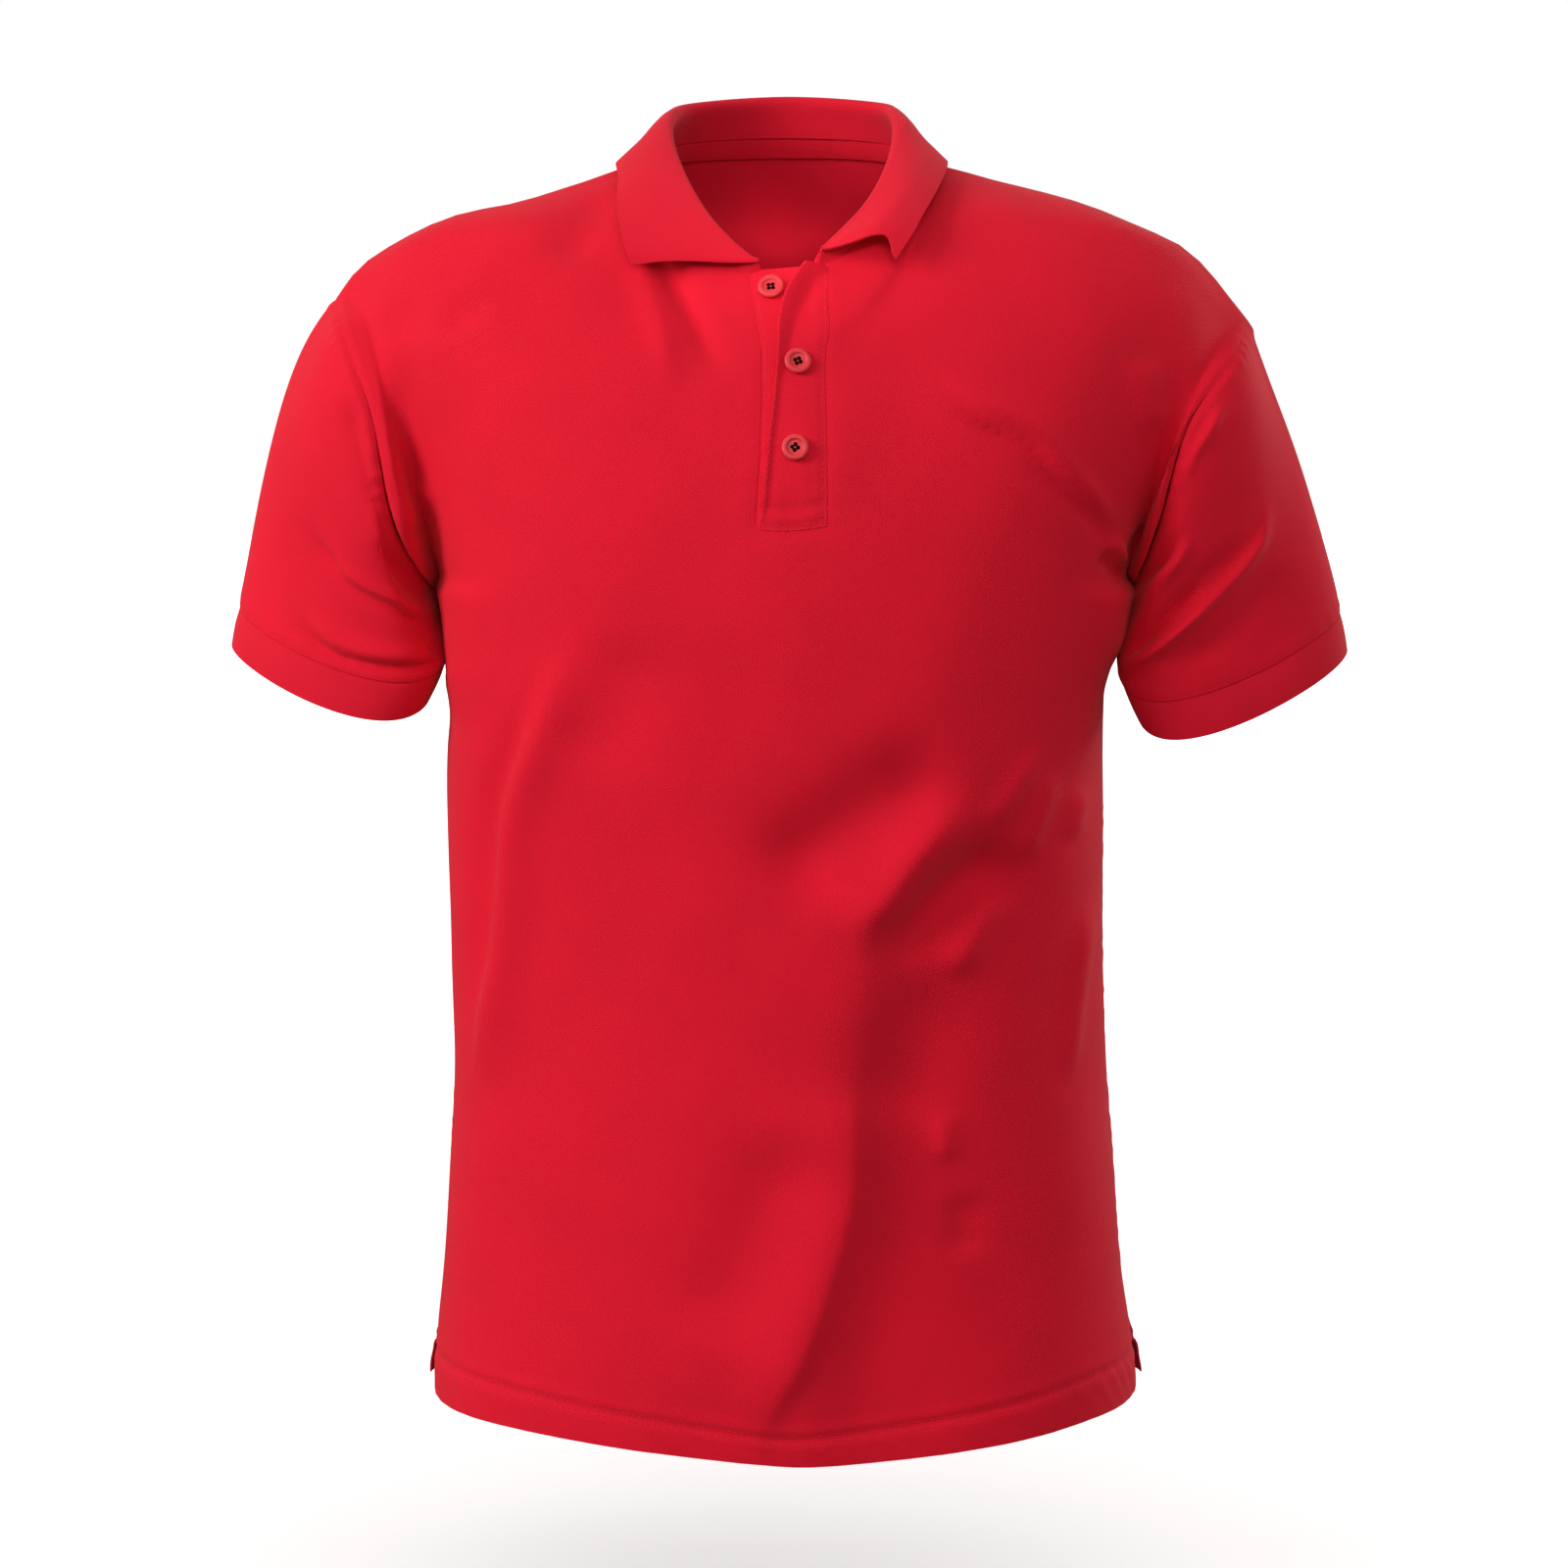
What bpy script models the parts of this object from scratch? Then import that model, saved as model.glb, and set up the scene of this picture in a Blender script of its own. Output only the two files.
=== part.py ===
"""Polo shirt in its worn shape, empty: pique panels, flat-knit collar and cuffs, placket and buttons.

Metres, +Z up.  The front faces -Y, and "left" is the viewer's left, -X.  The origin is the middle of the neck
opening at the height of the shoulders' highest points, where the wearer's shoulders hold the shirt up.
The panels meet at shared seam curves, and each wall stops half a seam gap short of its curve.
"""
import math

import bmesh
import bpy
import numpy as np
from mathutils import Vector

# Driving dimensions
WALL = 0.0015               # pique panels
KNIT_WALL = 0.0016          # flat-knit collar and cuffs
SEAM_GAP = 0.0003           # between pieces that touch
HEM_DROP = 0.684            # origin to the hem at the sides
HEM_SAG = 0.010             # the hem's extra drop at centre back
HEM_BAND = 0.020            # turned-up hem, stitched this far above the edge
HEM_RELIEF = 0.0008         # how far the doubled hem stands proud
VENT = 0.042                # open slit at the foot of each side seam
VENT_SPREAD = 0.005         # how far each vent edge swings from the seam line
CHEST_LINE = -0.295         # height where the straight body ends and the yoke begins
CUFF_DEPTH = 0.050          # half of a cuff's opening, front to back
CUFF_INSET = 0.0012         # the cuff's ring is this much tighter than the sleeve's end
CUFF_GAP = 0.0004           # and ends this far short of the cuff seam
LEAF_CLEAR = 0.0034         # collar leaf's visible face above the cloth it lies on
TAPE_WIDTH = 0.009
TAPE_START = 0.001          # below the neck seam
TAPE_CLEAR = 0.0009
TAPE_WALL = 0.001
PLACKET_BOTTOM = -0.206     # height of the placket's lower end
PLACKET_WALL = 0.0016
PLACKET_CLEAR = 0.0005      # under the upper placket
PLACKET_LAP = 0.005         # the upper placket reaches this share of the front over the slit's edge
PLACKET_FOOT = 0.008        # and this share of the front below the slit
PLACKET_HEAD = 0.003        # the lower strip ends this far under the neck seam
PLACKET_NECK = 0.006        # and the upper one this share of the front under it
PLACKET_STEPS = 3
BUTTON_RADIUS = 0.0070
BUTTON_THICK = 0.0026
BUTTON_HOLE = 0.0009
BUTTON_HOLE_PITCH = 0.0019  # hole centres from the button's centre, along X and Y

# Body sections: half widths to the viewer's left and right of the origin, and depths to front and back
TORSO_COLUMNS = ("height", "left", "right", "front", "back", "square")
TORSO = (
    (-0.710, 0.1960, 0.1945, 0.1260, 0.1280, 2.50),
    (-0.660, 0.1935, 0.1915, 0.1240, 0.1260, 2.50),
    (-0.620, 0.1895, 0.1865, 0.1215, 0.1230, 2.48),
    (-0.560, 0.1862, 0.1820, 0.1190, 0.1180, 2.45),
    (-0.500, 0.1828, 0.1772, 0.1175, 0.1130, 2.42),
    (-0.440, 0.1842, 0.1750, 0.1180, 0.1120, 2.40),
    (-0.380, 0.1852, 0.1746, 0.1210, 0.1150, 2.40),
    (-0.330, 0.1848, 0.1735, 0.1250, 0.1200, 2.50),
    (-0.295, 0.1818, 0.1740, 0.1275, 0.1230, 2.60),
    (-0.230, 0.1860, 0.1800, 0.1290, 0.1250, 2.70),
)

# Where the top edge's stretches end, across a panel from the viewer's left to right, and the share of the
# chest line's length that lies under each end
FRONT_ENDS = (0.0, 0.20, 0.34, 0.455, 0.545, 0.66, 0.80, 1.0)
FRONT_CHEST = (0.0, 0.160, 0.335, 0.477, 0.543, 0.675, 0.840, 1.0)
BACK_ENDS = (0.0, 0.22, 0.37, 0.63, 0.78, 1.0)
BACK_CHEST = (0.0, 0.165, 0.350, 0.650, 0.835, 1.0)

# The front hem's extra drop, as (place across the front, drop)
FRONT_HEM = (
    (0.00, 0.0000),
    (0.12, 0.0018),
    (0.27, 0.0030),
    (0.36, 0.0080),
    (0.44, 0.0125),
    (0.52, 0.0143),
    (0.60, 0.0130),
    (0.69, 0.0080),
    (0.77, 0.0030),
    (0.88, 0.0015),
    (1.00, 0.0000),
)

# Seam curves, viewer's left and right, each point as (x, y, height)
ARMHOLE_FRONT = {
    "left": (
        (-0.1900, 0.0040, -0.2380),
        (-0.1950, -0.0300, -0.2330),
        (-0.2065, -0.0545, -0.2115),
        (-0.2200, -0.0610, -0.1460),
        (-0.2375, -0.0360, -0.1030),
        (-0.2450, 0.0000, -0.0860),
    ),
    "right": (
        (0.1870, 0.0040, -0.2360),
        (0.1915, -0.0300, -0.2310),
        (0.1985, -0.0545, -0.2060),
        (0.2130, -0.0600, -0.1530),
        (0.2400, -0.0380, -0.1170),
        (0.2525, 0.0000, -0.0985),
    ),
}
ARMHOLE_BACK = {
    "left": (
        (-0.1900, 0.0040, -0.2380),
        (-0.1940, 0.0380, -0.2320),
        (-0.2010, 0.0640, -0.2070),
        (-0.2110, 0.0720, -0.1500),
        (-0.2310, 0.0450, -0.1040),
        (-0.2450, 0.0000, -0.0860),
    ),
    "right": (
        (0.1870, 0.0040, -0.2360),
        (0.1905, 0.0380, -0.2310),
        (0.1960, 0.0640, -0.2050),
        (0.2090, 0.0710, -0.1550),
        (0.2360, 0.0450, -0.1150),
        (0.2525, 0.0000, -0.0985),
    ),
}
SHOULDER = {
    "left": (
        (-0.2450, 0.0000, -0.0860),
        (-0.2355, 0.0000, -0.0725),
        (-0.2155, 0.0010, -0.0580),
        (-0.1860, 0.0030, -0.0437),
        (-0.1440, 0.0060, -0.0334),
        (-0.1055, 0.0100, -0.0205),
        (-0.0730, 0.0140, -0.0085),
    ),
    "right": (
        (0.2525, 0.0000, -0.0985),
        (0.2405, 0.0000, -0.0835),
        (0.2200, 0.0010, -0.0612),
        (0.1875, 0.0030, -0.0455),
        (0.1520, 0.0060, -0.0320),
        (0.1060, 0.0100, -0.0195),
        (0.0715, 0.0140, -0.0085),
    ),
}

# Collar stations from the left front end round the back to the right front end: the neck seam, the fold line
# and the leaf's edge, how far the leaf bulges between its fold and its edge, and the radius of the fold's roll
COLLAR_COLUMNS = ("seam", "fold", "edge", "bulge", "roll")
COLLAR = (
    ((-0.0140, -0.0735, -0.0722), (-0.0145, -0.0775, -0.0672), (-0.0800, -0.0790, -0.0700), 0.001, 0.0024),
    ((-0.0255, -0.0725, -0.0735), (-0.0225, -0.0750, -0.0620), (-0.0845, -0.0740, -0.0600), 0.002, 0.0026),
    ((-0.0500, -0.0540, -0.0520), (-0.0430, -0.0570, -0.0400), (-0.0890, -0.0520, -0.0400), 0.003, 0.0034),
    ((-0.0660, -0.0240, -0.0250), (-0.0590, -0.0160, -0.0080), (-0.0900, -0.0220, -0.0220), 0.002, 0.0038),
    ((-0.0730, 0.0140, -0.0085), (-0.0620, 0.0240, 0.0145), (-0.0915, 0.0180, -0.0110), 0.000, 0.0038),
    ((-0.0560, 0.0620, 0.0020), (-0.0490, 0.0600, 0.0235), (-0.0760, 0.0790, -0.0180), 0.001, 0.0038),
    ((0.0000, 0.0850, 0.0060), (0.0000, 0.0820, 0.0285), (0.0000, 0.1040, -0.0170), 0.002, 0.0038),
    ((0.0550, 0.0620, 0.0020), (0.0470, 0.0600, 0.0240), (0.0745, 0.0790, -0.0180), 0.001, 0.0038),
    ((0.0715, 0.0140, -0.0085), (0.0582, 0.0240, 0.0155), (0.0870, 0.0180, -0.0105), 0.000, 0.0038),
    ((0.0650, -0.0240, -0.0240), (0.0560, -0.0160, -0.0080), (0.0850, -0.0220, -0.0205), 0.002, 0.0038),
    ((0.0490, -0.0540, -0.0480), (0.0440, -0.0520, -0.0340), (0.0740, -0.0560, -0.0400), 0.004, 0.0034),
    ((0.0205, -0.0740, -0.0690), (0.0245, -0.0755, -0.0565), (0.0660, -0.0740, -0.0540), 0.006, 0.0026),
    ((0.0160, -0.0748, -0.0688), (0.0190, -0.0790, -0.0612), (0.0575, -0.0840, -0.0670), 0.006, 0.0024),
)
NECK_POINT_STATIONS = {"left": 4, "right": 8}
PLACKET_STATIONS = {"left": 1, "right": 11}
# Places across the collar: the seam, the stand, the quarter turns of the fold, the leaf and its edge
COLLAR_KNOTS = (0.0, 0.10, 0.20, 0.25, 0.30, 0.35, 0.40, 0.70, 1.0)
COLLAR_ACROSS = (0.0, 0.10, 0.20, 0.25, 0.30, 0.35, 0.40, 0.55, 0.70, 0.85, 1.0)

# Cuff openings at the lower edge: the ends nearest to and furthest from the body as (x, height), how much lower
# the front edge hangs than the middle, how far front and back dip between the ends, and how much nearer the
# body the front edge lies than the back edge
CUFF = {
    "left": {"inner": (-0.1948, -0.2975), "outer": (-0.3039, -0.2745), "tilt": 0.0135, "dip": 0.010, "shift": 0.020},
    "right": {"inner": (0.1938, -0.3025), "outer": (0.3080, -0.2785), "tilt": 0.0175, "dip": 0.012, "shift": 0.030},
}
CUFF_MIDDLE = -0.004        # the cuffs' middle, front to back
# From the lower edge to the cuff seam, at the ring's outer end and at its inner end; x is towards the body
CUFF_RISE = {"outer": (0.0045, 0.002, 0.0213), "inner": (0.0095, 0.000, 0.0205)}

# The free edge of the upper placket, as (height, x); its top is pulled open
FREE_EDGE = (
    (-0.209, -0.0160),
    (-0.197, -0.0122),
    (-0.186, -0.0080),
    (-0.150, -0.0062),
    (-0.120, -0.0045),
    (-0.095, -0.0005),
    (-0.080, 0.0065),
    (-0.066, 0.0170),
)
# Buttons as (name, layer that carries it, x, height)
BUTTONS = (
    ("button_1", "under", -0.0076, -0.0835),
    ("button_2", "over", 0.0060, -0.1215),
    ("button_3", "over", 0.0048, -0.1650),
)

# Folds seen from the front and from behind: height is along the cloth's outward normal, negative in a trough;
# sizes in metres, the path as (x, height) points
FOLD_COLUMNS = ("height", "width", "path")
FRONT_FOLDS = (
    (0.0050, 0.012, ((-0.112, -0.262), (-0.132, -0.312), (-0.149, -0.362), (-0.156, -0.412), (-0.159, -0.465),
                     (-0.168, -0.512), (-0.182, -0.550))),
    (-0.0050, 0.016, ((-0.078, -0.262), (-0.100, -0.320), (-0.124, -0.345))),
    (-0.0060, 0.018, ((0.080, -0.342), (0.048, -0.358), (0.012, -0.388), (-0.012, -0.412))),
    (0.0055, 0.013, ((0.090, -0.365), (0.068, -0.385), (0.054, -0.412), (0.030, -0.430))),
    (-0.0060, 0.014, ((0.116, -0.383), (0.078, -0.415), (0.042, -0.450))),
    (0.0040, 0.010, ((0.106, -0.420), (0.084, -0.456))),
    (-0.0060, 0.020, ((0.070, -0.475), (0.044, -0.540), (0.038, -0.600))),
    (0.0060, 0.016, ((0.026, -0.545), (0.022, -0.595), (0.010, -0.640), (0.000, -0.680))),
    (0.0035, 0.008, ((0.138, -0.325), (0.118, -0.355), (0.104, -0.375))),
    (0.0035, 0.009, ((0.167, -0.415), (0.163, -0.460), (0.155, -0.520))),
    (-0.0050, 0.013, ((-0.096, -0.030), (-0.110, -0.055), (-0.120, -0.085))),
    (-0.0035, 0.012, ((-0.065, -0.078), (-0.055, -0.095), (-0.048, -0.112))),
    (-0.0030, 0.014, ((-0.198, -0.088), (-0.212, -0.118))),
    (0.0035, 0.011, ((0.082, -0.130), (0.132, -0.158), (0.158, -0.190), (0.178, -0.215))),
    (-0.0040, 0.010, ((-0.231, -0.140), (-0.218, -0.180), (-0.209, -0.212))),
    (-0.0045, 0.010, ((-0.258, -0.225), (-0.230, -0.246), (-0.200, -0.262))),
    (0.0040, 0.009, ((-0.262, -0.244), (-0.225, -0.268), (-0.195, -0.270))),
    (-0.0050, 0.010, ((0.186, -0.262), (0.212, -0.240), (0.240, -0.214), (0.256, -0.188))),
    (0.0040, 0.010, ((0.196, -0.275), (0.228, -0.250), (0.262, -0.222))),
)
BACK_FOLDS = (
    (-0.0055, 0.018, ((-0.150, -0.120), (-0.120, -0.165), (-0.098, -0.230), (-0.090, -0.300))),
    (-0.0050, 0.017, ((0.146, -0.125), (0.122, -0.175), (0.104, -0.240), (0.098, -0.290))),
    (0.0050, 0.016, ((-0.045, -0.400), (-0.060, -0.470), (-0.066, -0.560), (-0.062, -0.640))),
    (-0.0055, 0.018, ((-0.015, -0.360), (-0.026, -0.450), (-0.022, -0.560))),
    (0.0050, 0.015, ((0.040, -0.410), (0.052, -0.490), (0.050, -0.590), (0.056, -0.670))),
    (-0.0050, 0.016, ((0.092, -0.370), (0.086, -0.460), (0.094, -0.560))),
    (-0.0040, 0.014, ((-0.140, -0.330), (-0.120, -0.370), (-0.105, -0.430))),
    (0.0035, 0.012, ((-0.160, -0.310), (-0.134, -0.330), (-0.110, -0.372))),
    (0.0040, 0.012, ((0.156, -0.305), (0.136, -0.340), (0.122, -0.390))),
    (-0.0040, 0.011, ((-0.248, -0.226), (-0.224, -0.240), (-0.200, -0.250))),
    (-0.0040, 0.011, ((0.250, -0.220), (0.226, -0.238), (0.202, -0.250))),
    (-0.0035, 0.012, ((-0.036, -0.045), (0.000, -0.060), (0.040, -0.046))),
)

# How finely the solids are cut: steps along each stretch of a panel's top edge, and rows
FRONT_STEPS = (9, 4, 6, 3, 6, 4, 9)
BACK_STEPS = (9, 4, 10, 4, 9)
BODY_ROWS = 17
YOKE_ROWS = 13
SLEEVE_ROWS = 11
CUFF_ROWS = 2
COLLAR_END_STEPS = 2        # stations past each edge of the placket
SETTLE_ROUNDS = 3

COLOURS = {
    "pique": (0.60, 0.008, 0.020),
    "knit": (0.64, 0.020, 0.026),
    "button": (0.70, 0.045, 0.055),
}
ROUGHNESS = {"pique": 0.85, "knit": 0.88, "button": 0.42}


# Curves and surfaces

def unit(vectors):
    """Vectors scaled to length one."""
    return vectors / np.maximum(np.linalg.norm(vectors, axis=-1, keepdims=True), 1e-12)


def ease(share):
    """Smooth step from 0 to 1."""
    share = np.clip(share, 0.0, 1.0)
    return share * share * (3.0 - 2.0 * share)


def hermite(start, end, leave, arrive, share):
    """Cubic from start to end with the given end tangents."""
    share = np.asarray(share)[..., None]
    square = share * share
    cube = square * share
    return ((2 * cube - 3 * square + 1) * start + (cube - 2 * square + share) * leave
            + (3 * square - 2 * cube) * end + (cube - square) * arrive)


def through(knots, values, at):
    """Smooth curve through the values at rising knots, read at the places given."""
    knots = np.asarray(knots, float)
    values = np.asarray(values, float).reshape(len(knots), -1)
    at = np.asarray(at, float)
    slopes = np.gradient(values, knots, axis=0)
    cell = np.clip(np.searchsorted(knots, at) - 1, 0, len(knots) - 2)
    span = knots[cell + 1] - knots[cell]
    share = np.clip((at - knots[cell]) / span, 0.0, 1.0)
    return hermite(values[cell], values[cell + 1], slopes[cell] * span[..., None],
                   slopes[cell + 1] * span[..., None], share)


def along(points, share):
    """Smooth curve through points, read at shares of its chord length."""
    points = np.asarray(points, float)
    steps = np.linalg.norm(np.diff(points, axis=0), axis=1)
    knots = np.concatenate([[0.0], np.cumsum(steps)])
    return through(knots / knots[-1], points, share)


def column(table, names, name):
    """One named column of a table."""
    return np.array([row[names.index(name)] for row in table], float)


def torso(height, angle, face):
    """Body surface at a height and an angle: 0 at the left side seam, pi at the right one."""
    sizes = {}
    heights = column(TORSO, TORSO_COLUMNS, "height")
    for name in TORSO_COLUMNS[1:]:
        sizes[name] = through(heights, column(TORSO, TORSO_COLUMNS, name), height)[..., 0]
    power = 2.0 / sizes["square"]
    lean = np.cos(angle)
    half = np.where(lean > 0.0, sizes["left"], sizes["right"])
    x = -np.sign(lean) * half * np.abs(lean) ** power
    y = sizes[face] * np.abs(np.sin(angle)) ** power
    if face == "front":
        y = -y
    return np.stack([x, y, height + 0.0 * x], axis=-1)


def chest_angle(share, face):
    """Angle at a share of the chest line's length."""
    angles = np.linspace(0.0, math.pi, 361)
    line = torso(np.full(angles.shape, CHEST_LINE), angles, face)
    length = np.concatenate([[0.0], np.cumsum(np.linalg.norm(np.diff(line, axis=0), axis=1))])
    return np.interp(share, length / length[-1], angles)


def neck_seam(station):
    """Neck seam at collar stations."""
    seam = np.array([row[0] for row in COLLAR])
    return through(np.arange(len(COLLAR)), seam, station)


def stretch_curve(face, number, share):
    """A point on one stretch of a panel's top edge, read from the viewer's left to right."""
    armhole = ARMHOLE_FRONT if face == "front" else ARMHOLE_BACK
    last = 6 if face == "front" else 4
    if number == 0:
        return along(armhole["left"], share)
    if number == 1:
        return along(SHOULDER["left"], share)
    if number == last - 1:
        return along(SHOULDER["right"], 1.0 - share)
    if number == last:
        return along(armhole["right"], 1.0 - share)
    left, right = NECK_POINT_STATIONS["left"], NECK_POINT_STATIONS["right"]
    if face == "back":
        return neck_seam(left + (right - left) * share)
    if number == 2:
        return neck_seam(left + (PLACKET_STATIONS["left"] - left) * share)
    if number == 4:
        start = PLACKET_STATIONS["right"]
        return neck_seam(start + (right - start) * share)
    ends = [neck_seam(np.array(float(PLACKET_STATIONS[side]))) for side in ("left", "right")]
    return ends[0] + (ends[1] - ends[0]) * np.asarray(share)[..., None]


def towards_tip(share):
    """Share of an armhole's half from the underarm, slowing down at the shoulder tip."""
    slowed = (3.0 * share - share ** 3) / 2.0
    return share + (slowed - share) * CORNER_EASE


def corner_ease(share):
    """Share of a stretch, slowing down at both corners."""
    return share + (ease(share) - share) * CORNER_EASE


def gather(share, number, last):
    """Slow a stretch down at its corners, so that the cloth below a corner stays smooth."""
    if number == 0:
        return towards_tip(share)
    if number == last:
        return 1.0 - towards_tip(1.0 - share)
    if last == 6 and number == 3:
        return share
    return corner_ease(share)


def top_edge(face, across):
    """Top edge of a panel: armhole, shoulder, neck, and back down the other side."""
    ends = FRONT_ENDS if face == "front" else BACK_ENDS
    across = np.asarray(across, float)
    points = np.zeros(across.shape + (3,))
    for number in range(len(ends) - 1):
        inside = (across >= ends[number]) & (across <= ends[number + 1])
        share = (across - ends[number]) / (ends[number + 1] - ends[number])
        points[inside] = stretch_curve(face, number, gather(share[inside], number, len(ends) - 2))
    return points


# The directions in which the cloth arrives at its top edge, from the left underarm to the middle of the neck
ARRIVALS = {
    "front": ((-0.50, 0.00, 0.86), (-0.60, 0.32, 0.74), (-0.62, 0.75, -0.15), (-0.05, 1.00, 0.04),
              (0.04, 0.90, 0.40), (0.12, 0.70, 0.66), (0.05, 0.60, 0.80), (0.00, 0.60, 0.80)),
    "back": ((-0.50, 0.00, 0.86), (-0.60, -0.32, 0.74), (-0.62, -0.75, -0.15), (-0.05, -1.00, 0.04),
             (0.06, -0.95, 0.30), (0.16, -0.75, 0.60), (0.06, -0.55, 0.82), (0.00, -0.50, 0.87)),
}
ARRIVAL_PLACES = {
    "front": (0.0, 0.10, 0.20, 0.27, 0.34, 0.39, 0.455, 0.50),
    "back": (0.0, 0.11, 0.22, 0.295, 0.37, 0.42, 0.47, 0.50),
}
CORNER_EASE = 0.5           # how much a stretch's columns slow down at its corners
YOKE_FULLNESS = 1.12        # how far the yoke's curves bow out, against their chord


def arrival(face, across):
    """Direction in which a column of cloth arrives at the top edge."""
    mirrored = across > 0.5
    place = np.where(mirrored, 1.0 - across, across)
    way = unit(through(ARRIVAL_PLACES[face], ARRIVALS[face], place))
    way[..., 0] = np.where(mirrored, -way[..., 0], way[..., 0])
    return way


def hem_height(face, across):
    """Height of the hem's edge."""
    if face == "back":
        return -HEM_DROP - HEM_SAG * np.sin(math.pi * across) ** 2
    places, drops = np.array(FRONT_HEM).T
    return -HEM_DROP - through(places, drops, across)[..., 0]


def panel_surface(face, across, up):
    """Panel surface: across from 0 at the left side seam to 1, up from 0 at the hem to 1 at the top edge.

    Up to one half it is the body, and above that the yoke.
    """
    ends, chest = (FRONT_ENDS, FRONT_CHEST) if face == "front" else (BACK_ENDS, BACK_CHEST)
    share = through(ends, chest, across)[..., 0]
    angle = chest_angle(share, face)
    body_up = np.clip(up * 2.0, 0.0, 1.0)
    height = hem_height(face, across) * (1.0 - body_up) + CHEST_LINE * body_up
    body = torso(height, angle, face)
    start = torso(np.full(across.shape, CHEST_LINE), angle, face)
    step = 0.004
    leave = unit(start - torso(np.full(across.shape, CHEST_LINE - step), angle, face))
    end = top_edge(face, across)
    reach = np.linalg.norm(end - start, axis=-1, keepdims=True) * YOKE_FULLNESS
    yoke = hermite(start, end, leave * reach, arrival(face, across) * reach, np.clip(up * 2.0 - 1.0, 0.0, 1.0))
    points = np.where((up > 0.5)[..., None], yoke, body)
    return points + vent_swing(face, across, points)


def vent_swing(face, across, points):
    """Both vent edges swing apart below the side seam's end, the back one a little outwards too."""
    depth = ease((HEM_DROP * -1.0 + VENT - points[..., 2]) / VENT)
    near = ease(1.0 - np.minimum(across, 1.0 - across) / 0.09)
    way = -1.0 if face == "front" else 1.0
    side = np.where(across < 0.5, -1.0, 1.0)
    swing = np.zeros(points.shape)
    swing[..., 1] = way * VENT_SPREAD
    swing[..., 0] = side * (VENT_SPREAD if face == "back" else -0.2 * VENT_SPREAD)
    return swing * (depth * near)[..., None]


def cuff_ring(side, turn, rise):
    """Ring at the cuff: turn 0 nearest the body, a quarter in front; rise 0 at the edge, 1 at the cuff seam."""
    sizes = CUFF[side]
    inner, outer = (np.array([x, CUFF_MIDDLE, height]) for x, height in (sizes["inner"], sizes["outer"]))
    middle = (inner + outer) / 2
    wave = np.sin(2 * math.pi * turn)
    reach = np.cos(2 * math.pi * turn)[..., None] * (inner - middle)
    towards_body = 1.0 if side == "left" else -1.0
    front = wave[..., None] * np.array([0.0, -CUFF_DEPTH, -sizes["tilt"]])
    front[..., 0] = towards_body * sizes["shift"] * (wave + wave ** 2) / 2
    dip = np.zeros(turn.shape + (3,))
    dip[..., 2] = -sizes["dip"] * wave ** 2
    inward = (0.5 + 0.5 * np.cos(2 * math.pi * turn))[..., None]
    lean = (1.0 - inward) * np.array(CUFF_RISE["outer"]) + inward * np.array(CUFF_RISE["inner"])
    lean[..., 0] *= towards_body
    return middle + reach + front + dip + lean * np.asarray(rise)[..., None]


# The directions in which the sleeve leaves the armhole, from the underarm over the front to the top and back
SLEEVE_LEAVES = {
    "left": ((-0.46, 0.00, -0.89), (-0.50, -0.28, -0.80), (-0.68, 0.00, -0.74), (-0.50, 0.28, -0.80),
             (-0.46, 0.00, -0.89)),
    "right": ((0.28, 0.00, -0.96), (0.50, -0.28, -0.80), (0.38, 0.00, -0.92), (0.50, 0.28, -0.80),
              (0.28, 0.00, -0.96)),
}
SLEEVE_ARRIVES = ((-0.40, -0.03, -0.92), (-0.29, -0.06, -0.95), (-0.21, -0.06, -0.97), (-0.29, -0.02, -0.95),
                  (-0.40, -0.03, -0.92))
TURN_PLACES = (0.0, 0.25, 0.50, 0.75, 1.0)
SLEEVE_EASE = 0.85          # how far the sleeve's curves bow out, against their chord


def armhole_ring(side, turn):
    """Armhole seam: turn 0 at the underarm, one half at the shoulder tip, over the front first."""
    front = along(ARMHOLE_FRONT[side], towards_tip(np.clip(turn * 2.0, 0.0, 1.0)))
    back = along(ARMHOLE_BACK[side], towards_tip(np.clip(2.0 - turn * 2.0, 0.0, 1.0)))
    return np.where((turn <= 0.5)[..., None], front, back)


def sleeve_surface(side, turn, down):
    """Sleeve surface from the armhole to the cuff seam."""
    mirror = np.array([1.0 if side == "left" else -1.0, 1.0, 1.0])
    start = armhole_ring(side, turn)
    end = cuff_ring(side, turn, np.ones(turn.shape))
    reach = np.linalg.norm(end - start, axis=-1, keepdims=True)
    leave = unit(through(TURN_PLACES, SLEEVE_LEAVES[side], turn)) * reach * SLEEVE_EASE
    arrive = unit(through(TURN_PLACES, SLEEVE_ARRIVES, turn)) * mirror * reach * SLEEVE_EASE
    return hermite(start, end, leave, arrive, down)


# Folds and walls

def grid_normals(points, closed=False):
    """Outward unit normals of a grid of points, rows upwards and columns from left to right seen from outside."""
    rise = points[1:, 1:] - points[:-1, :-1]
    cross = points[:-1, 1:] - points[1:, :-1]
    faces = unit(np.cross(cross, rise))
    total = np.zeros(points.shape)
    for row in (0, 1):
        for side in (0, 1):
            total[row:points.shape[0] - 1 + row, side:points.shape[1] - 1 + side] += faces
    if closed:
        rim = total[:, 0] + total[:, -1]
        total[:, 0] = rim
        total[:, -1] = rim
    return unit(total)


def share_normals(grids, normals):
    """Give points that several grids share one common normal."""
    sums = {}
    for name, points in grids.items():
        keys = np.round(points * 1e5).astype(int)
        for place, key in np.ndenumerate(np.empty(points.shape[:2])):
            rim = place[0] in (0, points.shape[0] - 1) or place[1] in (0, points.shape[1] - 1)
            if rim:
                entry = sums.setdefault(tuple(keys[place]), [])
                entry.append((name, place))
    for entry in sums.values():
        total = unit(sum(normals[name][place] for name, place in entry))
        for name, place in entry:
            normals[name][place] = total
    return normals


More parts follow.
